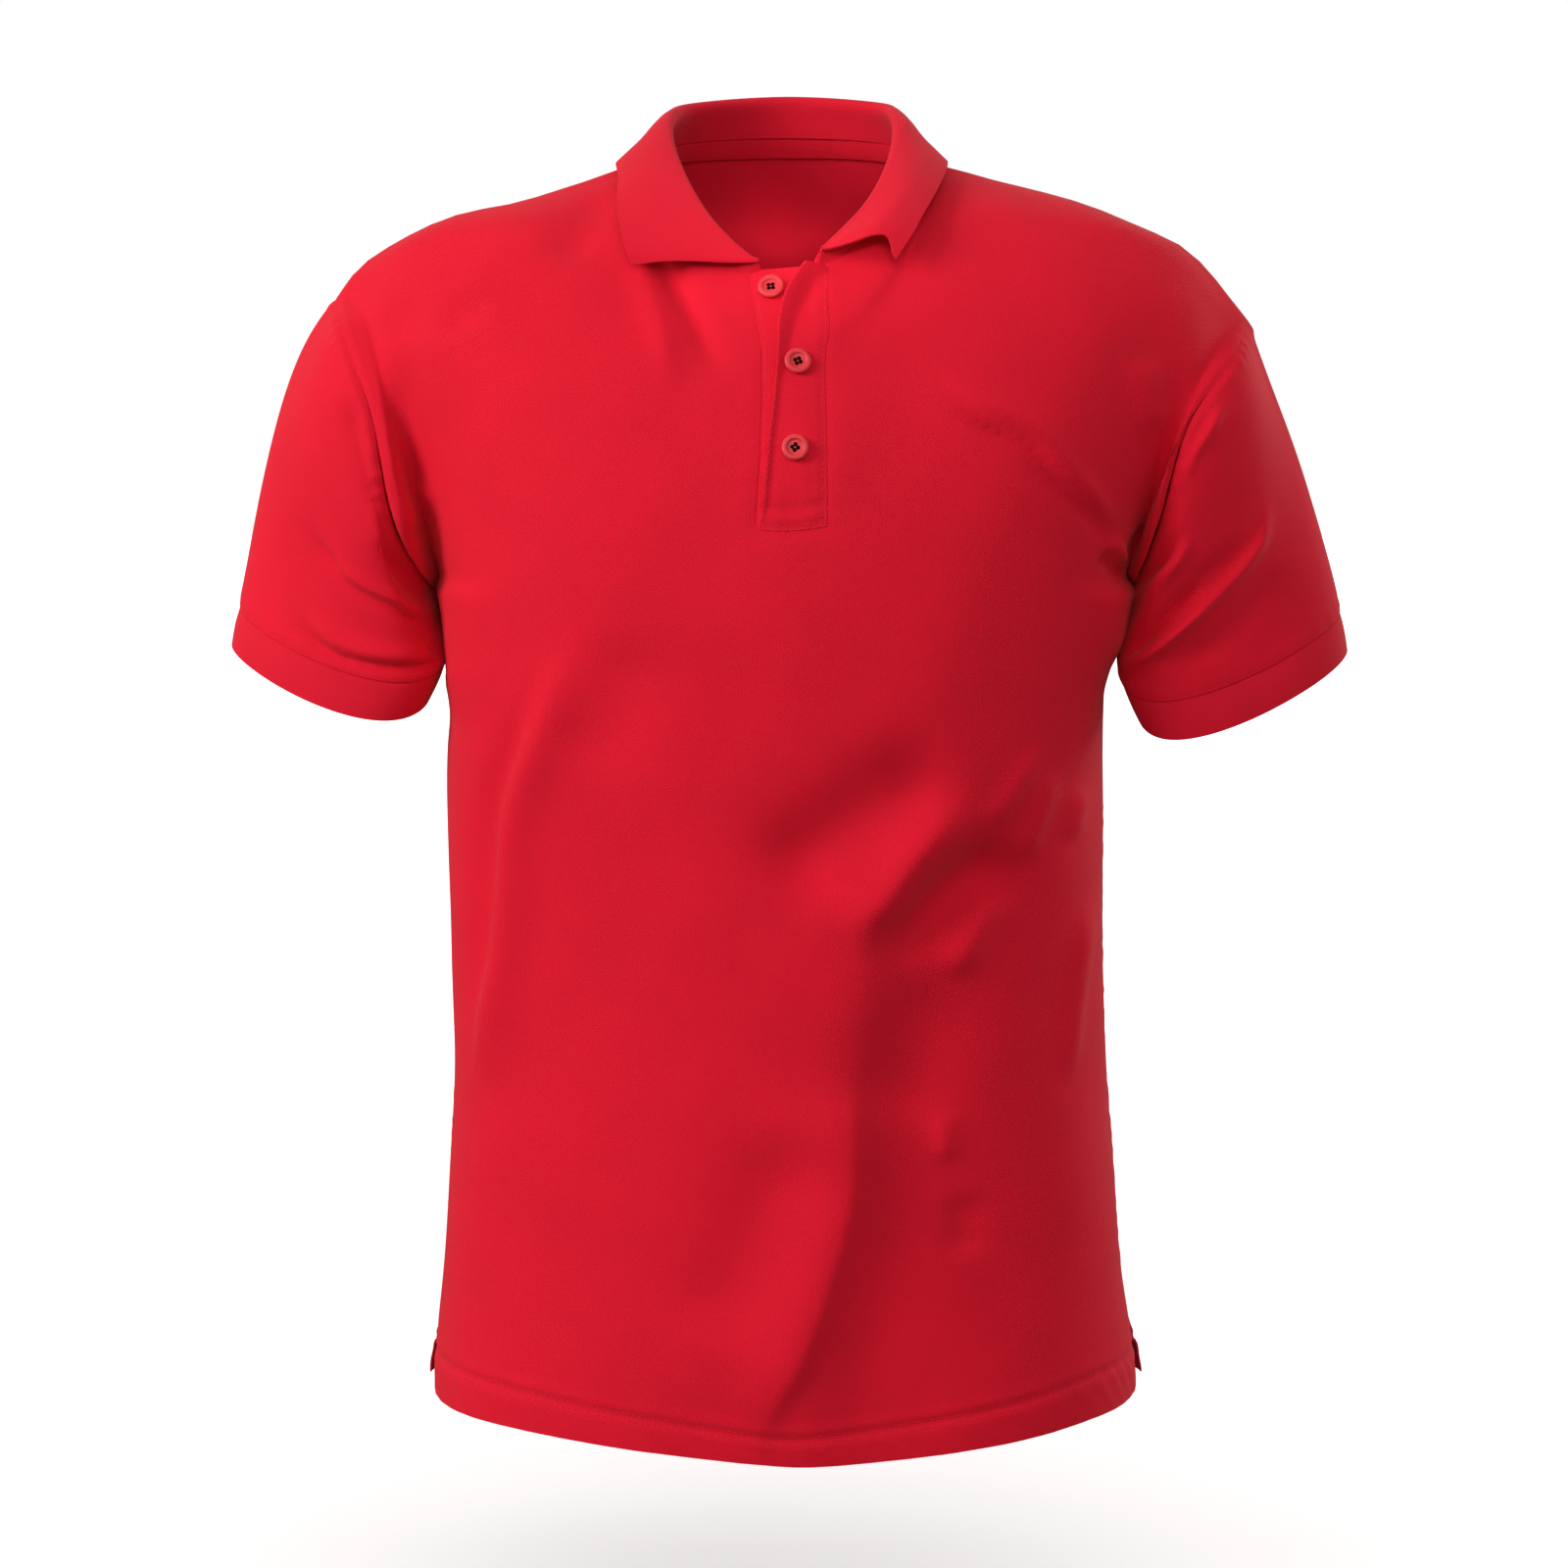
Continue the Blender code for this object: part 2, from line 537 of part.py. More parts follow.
def fold_relief(points, normals):
    """Height of the folds at surface points, from the tables of front and back folds."""
    relief = np.zeros(points.shape[:-1])
    flat = points[..., (0, 2)]
    for folds, facing in ((FRONT_FOLDS, -normals[..., 1]), (BACK_FOLDS, normals[..., 1])):
        weight = ease(facing / 0.5)
        for height, width, path in folds:
            line = along(path, np.linspace(0.0, 1.0, 25))
            gaps = np.linalg.norm(flat[..., None, :] - line, axis=-1)
            nearest = np.argmin(gaps, axis=-1)
            gap = np.take_along_axis(gaps, nearest[..., None], axis=-1)[..., 0]
            place = nearest / 24.0
            taper = ease(place / 0.35) * ease((1.0 - place) / 0.35) * 0.9 + 0.1
            relief += height * weight * taper * np.exp(-((gap / width) ** 2))
    return relief


def pull_in(points, gap, rims):
    """Move the named rims of a grid of points inwards along the cloth."""
    pulled = points.copy()
    if "low" in rims:
        pulled[0] += unit(points[1] - points[0]) * gap
    if "high" in rims:
        pulled[-1] += unit(points[-2] - points[-1]) * gap
    if "left" in rims:
        pulled[:, 0] += unit(points[:, 1] - points[:, 0]) * gap
    if "right" in rims:
        pulled[:, -1] += unit(points[:, -2] - points[:, -1]) * gap
    return pulled


def steps_to_places(ends, steps):
    """Places across a panel with the given number of steps in each stretch."""
    places = [0.0]
    for number, count in enumerate(steps):
        places.extend(np.linspace(ends[number], ends[number + 1], count + 1)[1:])
    return np.array(places)


def row_places(body_rows, yoke_rows):
    """Places up a panel, with close rows where the hem band ends."""
    length = HEM_DROP + CHEST_LINE
    band = [0.0, 0.5 * HEM_BAND, HEM_BAND - 0.0008, HEM_BAND + 0.0008, 2.0 * HEM_BAND]
    low = np.array(band) / length * 0.5
    body = np.linspace(low[-1], 0.5, body_rows - 3)[1:]
    yoke = np.linspace(0.5, 1.0, yoke_rows + 1)[1:]
    return np.concatenate([low, body, yoke])


def cloth_surfaces():
    """All cloth surfaces that meet at seams, folded, with their common normals."""
    grids = {}
    rows = row_places(BODY_ROWS, YOKE_ROWS)
    for face, ends, steps in (("front", FRONT_ENDS, FRONT_STEPS), ("back", BACK_ENDS, BACK_STEPS)):
        across, up = np.meshgrid(steps_to_places(ends, steps), rows)
        grids[face] = panel_surface(face, across, up)
    grids["back"] = grids["back"][:, ::-1]
    for side in ("left", "right"):
        turns = np.concatenate([np.linspace(0.0, 0.5, FRONT_STEPS[0] + 1),
                                np.linspace(0.5, 1.0, BACK_STEPS[0] + 1)[1:]])
        down = np.linspace(1.0, 0.0, SLEEVE_ROWS + 1)
        turn, down = np.meshgrid(turns, down)
        grids["sleeve_" + side] = sleeve_surface(side, turn, down)
        turn, rise = np.meshgrid(turns, np.linspace(0.0, 1.0, CUFF_ROWS + 1))
        grids["cuff_" + side] = cuff_ring(side, turn, rise)
        if side == "left":
            for piece in ("sleeve_left", "cuff_left"):
                grids[piece] = grids[piece][:, ::-1]
    tubes = [name for name in grids if "_" in name]
    normals = {name: grid_normals(points, name in tubes) for name, points in grids.items()}
    normals = share_normals(grids, normals)
    for name in grids:
        if not name.startswith("cuff"):
            grids[name] = grids[name] + normals[name] * fold_relief(grids[name], normals[name])[..., None]
    normals = {name: grid_normals(points, name in tubes) for name, points in grids.items()}
    return grids, share_normals(grids, normals)


# Solids

def material(kind, name):
    """Plain material of one piece."""
    look = bpy.data.materials.new(name + "_" + kind)
    look.use_nodes = True
    shader = look.node_tree.nodes["Principled BSDF"]
    shader.inputs["Base Color"].default_value = (*COLOURS[kind], 1.0)
    shader.inputs["Roughness"].default_value = ROUGHNESS[kind]
    shader.inputs["Metallic"].default_value = 0.0
    return look


def add_object(name, mesh, kind, parent):
    """Link a mesh as one named piece."""
    piece = bpy.data.objects.new(name, mesh)
    piece.data.materials.append(material(kind, name))
    piece.parent = parent
    bpy.context.scene.collection.objects.link(piece)
    return piece


def wall(name, outer, inner, kind, parent, closed=False, hole=None):
    """Closed wall between two grids of points; hole names the quads left out as (rows, columns)."""
    rows, columns = outer.shape[:2]
    shape = bmesh.new()
    bmesh.ops.create_grid(shape, x_segments=columns - 1, y_segments=rows - 1, size=1.0)
    shape.verts.ensure_lookup_table()
    place = shape.verts.layers.int.new("place")
    for number, corner in enumerate(shape.verts):
        corner[place] = number
        corner.co = Vector(outer[number // columns, number % columns])
    if hole:
        lost = []
        for face in shape.faces:
            number = min(corner[place] for corner in face.verts)
            if number // columns in hole[0] and number % columns in hole[1]:
                lost.append(face)
        bmesh.ops.delete(shape, geom=lost, context="FACES")
    if closed:
        bmesh.ops.remove_doubles(shape, verts=shape.verts, dist=1e-7)
    layer = bmesh.ops.extrude_face_region(shape, geom=shape.faces[:], use_keep_orig=True)
    for corner in layer["geom"]:
        if isinstance(corner, bmesh.types.BMVert):
            number = corner[place]
            corner.co = Vector(inner[number // columns, number % columns])
    bmesh.ops.recalc_face_normals(shape, faces=shape.faces)
    mesh = bpy.data.meshes.new(name)
    shape.to_mesh(mesh)
    shape.free()
    mesh.shade_smooth()
    mesh.set_sharp_from_angle(angle=math.radians(50.0))
    return add_object(name, mesh, kind, parent)


def settle(points, grounds, clearance):
    """Lift points that lie lower than the clearance over the nearest ground point's plane."""
    ground = np.concatenate([grid.reshape(-1, 3) for grid, _ in grounds])
    facing = np.concatenate([normals.reshape(-1, 3) for _, normals in grounds])
    flat = points.reshape(-1, 3).copy()
    for number, point in enumerate(flat):
        gaps = np.sum((ground - point) ** 2, axis=1)
        near = np.argsort(gaps)[:4]
        weights = 1.0 / (gaps[near] + 1e-6)
        normal = unit(weights @ facing[near])
        height = weights @ ((point - ground[near]) @ normal) / np.sum(weights)
        if height < clearance:
            flat[number] = point + normal * (clearance - height)
    return flat.reshape(points.shape)


def across_line(vectors, line):
    """Unit directions of vectors, less the part that runs along a line."""
    return unit(vectors - np.sum(vectors * line, axis=-1, keepdims=True) * line)


def collar_rows(stations, shares, facing, depth):
    """Rows across the collar at a depth below its visible face, from the neck seam over the fold to the edge."""
    knots = np.arange(len(COLLAR))
    seam = neck_seam(stations)
    fold, edge = (through(knots, [row[number] for row in COLLAR], stations) for number in (1, 2))
    bulge, rolled = (through(knots, column(COLLAR, COLLAR_COLUMNS, name), stations) for name in ("bulge", "roll"))
    crease = unit(np.gradient(fold, axis=0))
    up = across_line(fold - seam, crease)
    drop = across_line(edge - fold, crease)
    rise = np.sum(drop * up, axis=-1, keepdims=True)
    out = across_line(drop, up)
    middle = fold - up * rolled
    sweep = np.arctan2(-rise, np.sqrt(1.0 - rise ** 2)) + math.pi / 2
    turns = [sweep * share - math.pi / 2 for share in np.linspace(0.0, 1.0, 5)]
    arc = [middle + (out * np.sin(turn) + up * np.cos(turn)) * (rolled - depth) for turn in turns]
    lean = out * np.sin(turns[-1]) + up * np.cos(turns[-1])
    leaf = (middle + edge + lean * rolled) / 2 + lean * (bulge - depth)
    seam = seam - unit(facing + out) * (KNIT_WALL - depth)
    profile = np.stack([seam, (seam + arc[0]) / 2, *arc, leaf, edge - lean * depth])
    flat = profile.reshape(len(COLLAR_KNOTS), -1)
    return through(COLLAR_KNOTS, flat, np.array(shares)).reshape(len(shares), -1, 3)


def panels(grids, normals, parent):
    """Front, back, sleeves and cuffs."""
    rows = row_places(BODY_ROWS, YOKE_ROWS)
    half_gap = SEAM_GAP / 2
    band = (rows * 2.0 * (HEM_DROP + CHEST_LINE) < HEM_BAND).astype(float)[:, None, None]
    rims = {"front": ("left", "right", "high"), "back": ("left", "right", "high"),
            "sleeve_left": ("low", "high"), "sleeve_right": ("low", "high"),
            "cuff_left": ("high",), "cuff_right": ("high",)}
    for name, points in grids.items():
        outer = pull_in(points, CUFF_GAP if name.startswith("cuff") else half_gap, rims[name])
        thickness = KNIT_WALL if name.startswith("cuff") else WALL
        if name.startswith("cuff"):
            outer = outer - normals[name] * CUFF_INSET
        inner = outer - normals[name] * thickness
        if name in ("front", "back"):
            outer = outer + normals[name] * band * HEM_RELIEF
        hole = placket_hole(grids["front"]) if name == "front" else None
        kind = "knit" if name.startswith("cuff") else "pique"
        wall(name, outer, inner, kind, parent, closed="_" in name, hole=hole)


def placket_hole(front):
    """Rows and columns of the front that the placket takes the place of."""
    first = sum(FRONT_STEPS[:3])
    columns = range(first, first + FRONT_STEPS[3])
    middle = front[:, first + 1, 2]
    start = int(np.argmin(np.abs(middle - PLACKET_BOTTOM)))
    return range(start, front.shape[0] - 1), columns


def front_patch(across, up):
    """Part of the front as its own grid, folded, with normals."""
    points = panel_surface("front", across, up)
    normals = grid_normals(points)
    points = points + normals * fold_relief(points, normals)[..., None]
    return points, grid_normals(points)


def free_edge(up):
    """Places across the front of the upper placket's free edge, at places up the front."""
    line = np.linspace(FRONT_ENDS[3], FRONT_ENDS[4], 61)
    edge = []
    for place in up:
        points = panel_surface("front", line, np.full(line.shape, place))
        free = np.interp(points[:, 2].mean(), [row[0] for row in FREE_EDGE], [row[1] for row in FREE_EDGE])
        edge.append(np.interp(free, points[:, 0], line))
    return np.array(edge)


def placket(grids, normals, parent):
    """Both placket strips: the lower one fills the front's slit, the upper one lies on it."""
    rows, columns = placket_hole(grids["front"])
    rows = slice(rows[0], rows[-1] + 2)
    columns = slice(columns[0], columns[-1] + 2)
    under = pull_in(grids["front"][rows, columns], SEAM_GAP, ("left", "right", "low"))
    under = pull_in(under, PLACKET_HEAD, ("high",))
    facing = normals["front"][rows, columns]
    wall("placket_under", under, under - facing * PLACKET_WALL, "pique", parent)
    up = row_places(BODY_ROWS, YOKE_ROWS)[rows]
    up[0] -= PLACKET_FOOT
    up[-1] -= PLACKET_NECK
    edge = free_edge(up)[:, None]
    share = np.linspace(0.0, 1.0, PLACKET_STEPS + 1)
    across = edge + (FRONT_ENDS[4] + PLACKET_LAP - edge) * share
    over, facing = front_patch(across, np.repeat(up[:, None], across.shape[1], axis=1))
    inner = over + facing * PLACKET_CLEAR
    outer = inner + facing * PLACKET_WALL
    wall("placket_over", outer, inner, "pique", parent)
    return {"under": (under, normals["front"][rows, columns]), "over": (outer, facing)}


def button_mesh():
    """Four-hole button with a raised rim, its axis along Z and its back at zero."""
    radius, thick = BUTTON_RADIUS, BUTTON_THICK
    profile = ((0.0, thick * 0.62), (radius * 0.55, thick * 0.62), (radius * 0.70, thick),
               (radius * 0.90, thick), (radius, thick * 0.60), (radius * 0.86, 0.0), (0.0, 0.0))
    shape = bmesh.new()
    corners = [shape.verts.new((x, 0.0, z)) for x, z in profile]
    edges = [shape.edges.new(pair) for pair in zip(corners, corners[1:])]
    bmesh.ops.spin(shape, geom=corners + edges, cent=(0, 0, 0), axis=(0, 0, 1), angle=2 * math.pi, steps=20,
                   use_merge=True)
    bmesh.ops.remove_doubles(shape, verts=shape.verts, dist=1e-6)
    bmesh.ops.recalc_face_normals(shape, faces=shape.faces)
    mesh = bpy.data.meshes.new("button")
    shape.to_mesh(mesh)
    shape.free()
    return mesh


def buttons(layers, parent):
    """Three buttons, each seated on its placket strip."""
    cutter_shape = bmesh.new()
    for x in (-1.0, 1.0):
        for y in (-1.0, 1.0):
            drill = bmesh.ops.create_cone(cutter_shape, cap_ends=True, segments=8, radius1=BUTTON_HOLE,
                                          radius2=BUTTON_HOLE, depth=4 * BUTTON_THICK)
            bmesh.ops.translate(cutter_shape, verts=drill["verts"],
                                vec=(x * BUTTON_HOLE_PITCH, y * BUTTON_HOLE_PITCH, 0.0))
    cutter_mesh = bpy.data.meshes.new("button_holes")
    cutter_shape.to_mesh(cutter_mesh)
    cutter_shape.free()
    for name, layer, x, height in BUTTONS:
        points, normals = layers[layer]
        flat = points.reshape(-1, 3)
        target = np.array([x, height])
        gaps = np.sum((flat[:, (0, 2)] - target) ** 2, axis=1)
        near = np.argsort(gaps)[:4]
        normal = unit(normals.reshape(-1, 3)[near].mean(axis=0))
        middle = flat[near].mean(axis=0)
        depth = ((middle[0] - x) * normal[0] + (middle[2] - height) * normal[2]) / normal[1]
        seat = np.array([x, middle[1] + depth, height])
        lift = max(0.0, np.max((flat[near] - seat) @ normal))
        seat = seat + normal * (lift + SEAM_GAP)
        turn = Vector(normal).to_track_quat("Z", "Y")
        mesh = button_mesh()
        piece = add_object(name, mesh, "button", parent)
        cutter = bpy.data.objects.new(name + "_cutter", cutter_mesh)
        bpy.context.scene.collection.objects.link(cutter)
        for thing in (piece, cutter):
            thing.rotation_mode = "QUATERNION"
            thing.rotation_quaternion = turn
            thing.location = Vector(seat)
        cutter.hide_render = True
        cutter.display_type = "WIRE"
        cut = piece.modifiers.new("holes", "BOOLEAN")
        cut.operation = "DIFFERENCE"
        cut.solver = "EXACT"
        cut.object = cutter


def neck_stations():
    """Collar stations at the panels' own neck points, and a few past the placket's edges."""
    left, right = NECK_POINT_STATIONS["left"], NECK_POINT_STATIONS["right"]
    start, end = PLACKET_STATIONS["left"], PLACKET_STATIONS["right"]
    last = len(COLLAR) - 1.0
    pieces = [
        np.linspace(0.0, start, COLLAR_END_STEPS + 1)[:-1],
        start + (left - start) * corner_ease(np.linspace(0.0, 1.0, FRONT_STEPS[2] + 1))[:-1],
        left + (right - left) * corner_ease(np.linspace(0.0, 1.0, BACK_STEPS[2] + 1))[:-1],
        right + (end - right) * corner_ease(np.linspace(0.0, 1.0, FRONT_STEPS[4] + 1))[:-1],
        np.linspace(end, last, COLLAR_END_STEPS + 1),
    ]
    return np.concatenate(pieces)


def collar(grids, normals, parent):
    """Folded flat-knit collar, standing on the neck edges and lying on the shoulders."""
    stations = neck_stations()
    facing = neck_facing(stations, grids, normals)
    visible, hidden = (collar_rows(stations, COLLAR_ACROSS, facing, depth) for depth in (0.0, KNIT_WALL))
    grounds = [(grids["front"], normals["front"]), (grids["back"], normals["back"])]
    first = COLLAR_ACROSS.index(0.40)
    for _ in range(SETTLE_ROUNDS):
        lift = settle(visible[first:], grounds, LEAF_CLEAR) - visible[first:]
        visible[first:] += lift
        hidden[first:] += lift
    rise = unit(visible[1] - visible[0]) * SEAM_GAP
    visible[0] += rise
    hidden[0] += rise
    wall("collar", visible, hidden, "knit", parent)


def neck_facing(stations, grids, normals):
    """The panels' normals along the neck seam, from the nearest points of their top edges."""
    tops = np.concatenate([grids[name][-1] for name in ("front", "back")])
    facing = np.concatenate([normals[name][-1] for name in ("front", "back")])
    weights = [1.0 / (np.sum((tops - point) ** 2, axis=1) + 1e-9) for point in neck_seam(stations)]
    return unit(np.array(weights) @ facing)


def neck_tape(grids, normals, parent):
    """Narrow tape inside the back, just under the neck seam."""
    first = BACK_STEPS[0] + BACK_STEPS[1]
    columns = slice(first, first + BACK_STEPS[2] + 1)
    inner = grids["back"] - normals["back"] * (WALL + TAPE_CLEAR)
    top, below = inner[-1, columns], inner[-2, columns]
    reach = below - top
    length = np.linalg.norm(reach, axis=1)[:, None]
    downs = (TAPE_WIDTH + TAPE_START, TAPE_START + TAPE_WIDTH / 2, TAPE_START)
    outer = np.stack([top + reach / length * down for down in downs])
    outer = pull_in(outer, TAPE_START, ("left", "right"))
    wall("neck_tape", outer, outer - grid_normals(outer) * TAPE_WALL, "pique", parent)


def main():
    """Clear the scene and build the shirt."""
    for thing in list(bpy.data.objects):
        bpy.data.objects.remove(thing, do_unlink=True)
    shirt = bpy.data.objects.new("polo_shirt", None)
    bpy.context.scene.collection.objects.link(shirt)
    grids, normals = cloth_surfaces()
    panels(grids, normals, shirt)
    collar(grids, normals, shirt)
    neck_tape(grids, normals, shirt)
    layers = placket(grids, normals, shirt)
    buttons(layers, shirt)


main()
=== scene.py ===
"""Dresses the polo shirt: pique panels, flat-knit collar and cuffs, placket, buttons, stitches, stage.

Metres, +Z up; the front faces -Y and "left" is the viewer's left, -X.  Surfaces follow the same seam
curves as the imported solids, with finer folds, seams and stitches.
"""
import functools
import math

import bmesh
import bpy
import numpy as np
from mathutils import Matrix, Vector, kdtree


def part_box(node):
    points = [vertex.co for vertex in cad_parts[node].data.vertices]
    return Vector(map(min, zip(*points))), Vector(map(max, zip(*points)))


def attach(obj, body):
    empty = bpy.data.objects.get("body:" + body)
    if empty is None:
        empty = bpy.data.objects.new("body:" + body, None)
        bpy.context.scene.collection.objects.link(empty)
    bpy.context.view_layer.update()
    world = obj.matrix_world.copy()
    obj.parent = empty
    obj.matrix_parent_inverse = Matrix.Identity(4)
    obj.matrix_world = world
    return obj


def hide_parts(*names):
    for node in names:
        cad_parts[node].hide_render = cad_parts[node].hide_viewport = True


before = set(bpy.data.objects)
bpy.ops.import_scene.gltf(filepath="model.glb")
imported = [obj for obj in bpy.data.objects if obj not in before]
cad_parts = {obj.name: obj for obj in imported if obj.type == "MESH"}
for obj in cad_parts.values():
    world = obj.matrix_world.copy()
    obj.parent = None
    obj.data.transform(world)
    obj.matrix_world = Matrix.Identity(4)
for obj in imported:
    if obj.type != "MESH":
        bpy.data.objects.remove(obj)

bl_info = {
    "name": "Polo shirt dressing",
    "version": (1, 0, 0),
    "blender": (4, 5, 0),
    "location": "3D View > Sidebar > Polo shirt",
    "description": "Builds the cloth, collar, placket, buttons and stitches of a worn polo shirt",
    "category": "Object",
}

# Sizes shared with the solids
HEM_DROP = 0.684            # origin to the hem at the sides
HEM_SAG = 0.010             # the hem's extra drop at centre back
VENT = 0.042                # open slit at the foot of each side seam
VENT_SPREAD = 0.005         # how far each vent edge swings from the seam line
CHEST_LINE = -0.295         # height where the straight body ends and the yoke begins
SIDE_LENGTH = HEM_DROP + CHEST_LINE  # from the hem up to that line, at the sides
CUFF_DEPTH = 0.050          # half of a cuff's opening, front to back
CUFF_INSET = 0.0007         # the cuff's ring is this much tighter than the sleeve's end
CUFF_TUCK = 0.0017          # and its sewn edge lies this far inside the sleeve's face
CUFF_BELLY = 0.0005         # how far the cuff's band swells between its edges
LEAF_CLEAR = 0.0034         # collar leaf's visible face above the cloth it lies on
KNIT_WALL = 0.0016          # the knit wall that the collar is laid out for
TAPE_WIDTH = 0.0108
TAPE_START = 0.001          # below the neck seam
TAPE_ENDS = 0.004           # the tape ends this share of the back before the neck's ends
TAPE_GAP = 0.0004           # between the tape and the back's inner face
TAPE_BOW = 0.0003           # how far its middle stands off its edges
TAPE_WALL = 0.0008
TAPE_ROWS = 7
TAPE_SLOPE = 12             # it slopes as the back's last rows do, from this one up
PLACKET_BOTTOM = -0.203     # height of the slit's lower end
PLACKET_LAP = 0.0012        # the upper placket reaches this share of the front over the slit's edge
PLACKET_FOOT = 0.006        # and this share of the front below the slit
PLACKET_NECK = 0.006        # both strips end this share of the front under the neck seam
UNDER_DROP = 0.0003         # the lower placket's face lies this far under the front's
PLACKET_LEVEL = 0.0004      # and the upper one's this far over it where it is sewn down
PLACKET_WALL = 0.0015       # both strips are double cloth
UNDER_COLUMNS = 25
OVER_COLUMNS = 22           # even columns of the upper strip
OVER_SPAN = (0.14, 0.95)    # where they lie, and the close ones at its free and its sewn edge
OVER_LEFT = (0.0, 0.02, 0.05, 0.09)
OVER_RIGHT = (0.975, 1.0)
OVER_ROWS = 90              # rows of the upper strip along the slit, and below it
FOOT_ROWS = 8
BOX_LINES = (-0.1960, -0.2055)  # heights of the stitches that close the placket's foot

TORSO_COLUMNS = ("height", "left", "right", "front", "back", "square")
TORSO = (
    (-0.710, 0.1960, 0.1945, 0.1260, 0.1280, 2.50),
    (-0.660, 0.1935, 0.1915, 0.1240, 0.1260, 2.50),
    (-0.620, 0.1895, 0.1865, 0.1215, 0.1230, 2.48),
    (-0.560, 0.1862, 0.1820, 0.1190, 0.1180, 2.45),
    (-0.500, 0.1828, 0.1772, 0.1175, 0.1130, 2.42),
    (-0.440, 0.1842, 0.1750, 0.1180, 0.1120, 2.40),
    (-0.380, 0.1852, 0.1746, 0.1210, 0.1150, 2.40),
    (-0.330, 0.1848, 0.1735, 0.1250, 0.1200, 2.50),
    (-0.295, 0.1818, 0.1740, 0.1275, 0.1230, 2.60),
    (-0.230, 0.1860, 0.1800, 0.1290, 0.1250, 2.70),
)

# Where the top edge's stretches end, across a panel from the viewer's left to right, and the share of the
# chest line's length that lies under each end
FRONT_ENDS = (0.0, 0.20, 0.34, 0.455, 0.545, 0.66, 0.80, 1.0)
FRONT_CHEST = (0.0, 0.160, 0.335, 0.477, 0.543, 0.675, 0.840, 1.0)
SLIT_LEFT = FRONT_ENDS[3]   # the slit's edges, as places across the front
SLIT_RIGHT = FRONT_ENDS[4]
BACK_ENDS = (0.0, 0.22, 0.37, 0.63, 0.78, 1.0)
BACK_CHEST = (0.0, 0.165, 0.350, 0.650, 0.835, 1.0)

# The front hem's extra drop, as (place across the front, drop)
FRONT_HEM = (
    (0.00, 0.0000),
    (0.12, 0.0018),
    (0.27, 0.0030),
    (0.36, 0.0080),
    (0.44, 0.0125),
    (0.52, 0.0143),
    (0.60, 0.0130),
    (0.69, 0.0080),
    (0.77, 0.0030),
    (0.88, 0.0015),
    (1.00, 0.0000),
)

# Seam curves, viewer's left and right, each point as (x, y, height)
ARMHOLE_FRONT = {
    "left": (
        (-0.1900, 0.0040, -0.2380),
        (-0.1950, -0.0300, -0.2330),
        (-0.2065, -0.0545, -0.2115),
        (-0.2200, -0.0610, -0.1460),
        (-0.2375, -0.0360, -0.1030),
        (-0.2450, 0.0000, -0.0860),
    ),
    "right": (
        (0.1870, 0.0040, -0.2360),
        (0.1915, -0.0300, -0.2310),
        (0.1985, -0.0545, -0.2060),
        (0.2130, -0.0600, -0.1530),
        (0.2400, -0.0380, -0.1170),
        (0.2525, 0.0000, -0.0985),
    ),
}
ARMHOLE_BACK = {
    "left": (
        (-0.1900, 0.0040, -0.2380),
        (-0.1940, 0.0380, -0.2320),
        (-0.2010, 0.0640, -0.2070),
        (-0.2110, 0.0720, -0.1500),
        (-0.2310, 0.0450, -0.1040),
        (-0.2450, 0.0000, -0.0860),
    ),
    "right": (
        (0.1870, 0.0040, -0.2360),
        (0.1905, 0.0380, -0.2310),
        (0.1960, 0.0640, -0.2050),
        (0.2090, 0.0710, -0.1550),
        (0.2360, 0.0450, -0.1150),
        (0.2525, 0.0000, -0.0985),
    ),
}
SHOULDER = {
    "left": (
        (-0.2450, 0.0000, -0.0860),
        (-0.2355, 0.0000, -0.0725),
        (-0.2155, 0.0010, -0.0580),
        (-0.1860, 0.0030, -0.0437),
        (-0.1440, 0.0060, -0.0334),
        (-0.1055, 0.0100, -0.0205),
        (-0.0730, 0.0140, -0.0085),
    ),
    "right": (
        (0.2525, 0.0000, -0.0985),
        (0.2405, 0.0000, -0.0835),
        (0.2200, 0.0010, -0.0612),
        (0.1875, 0.0030, -0.0455),
        (0.1520, 0.0060, -0.0320),
        (0.1060, 0.0100, -0.0195),
        (0.0715, 0.0140, -0.0085),
    ),
}

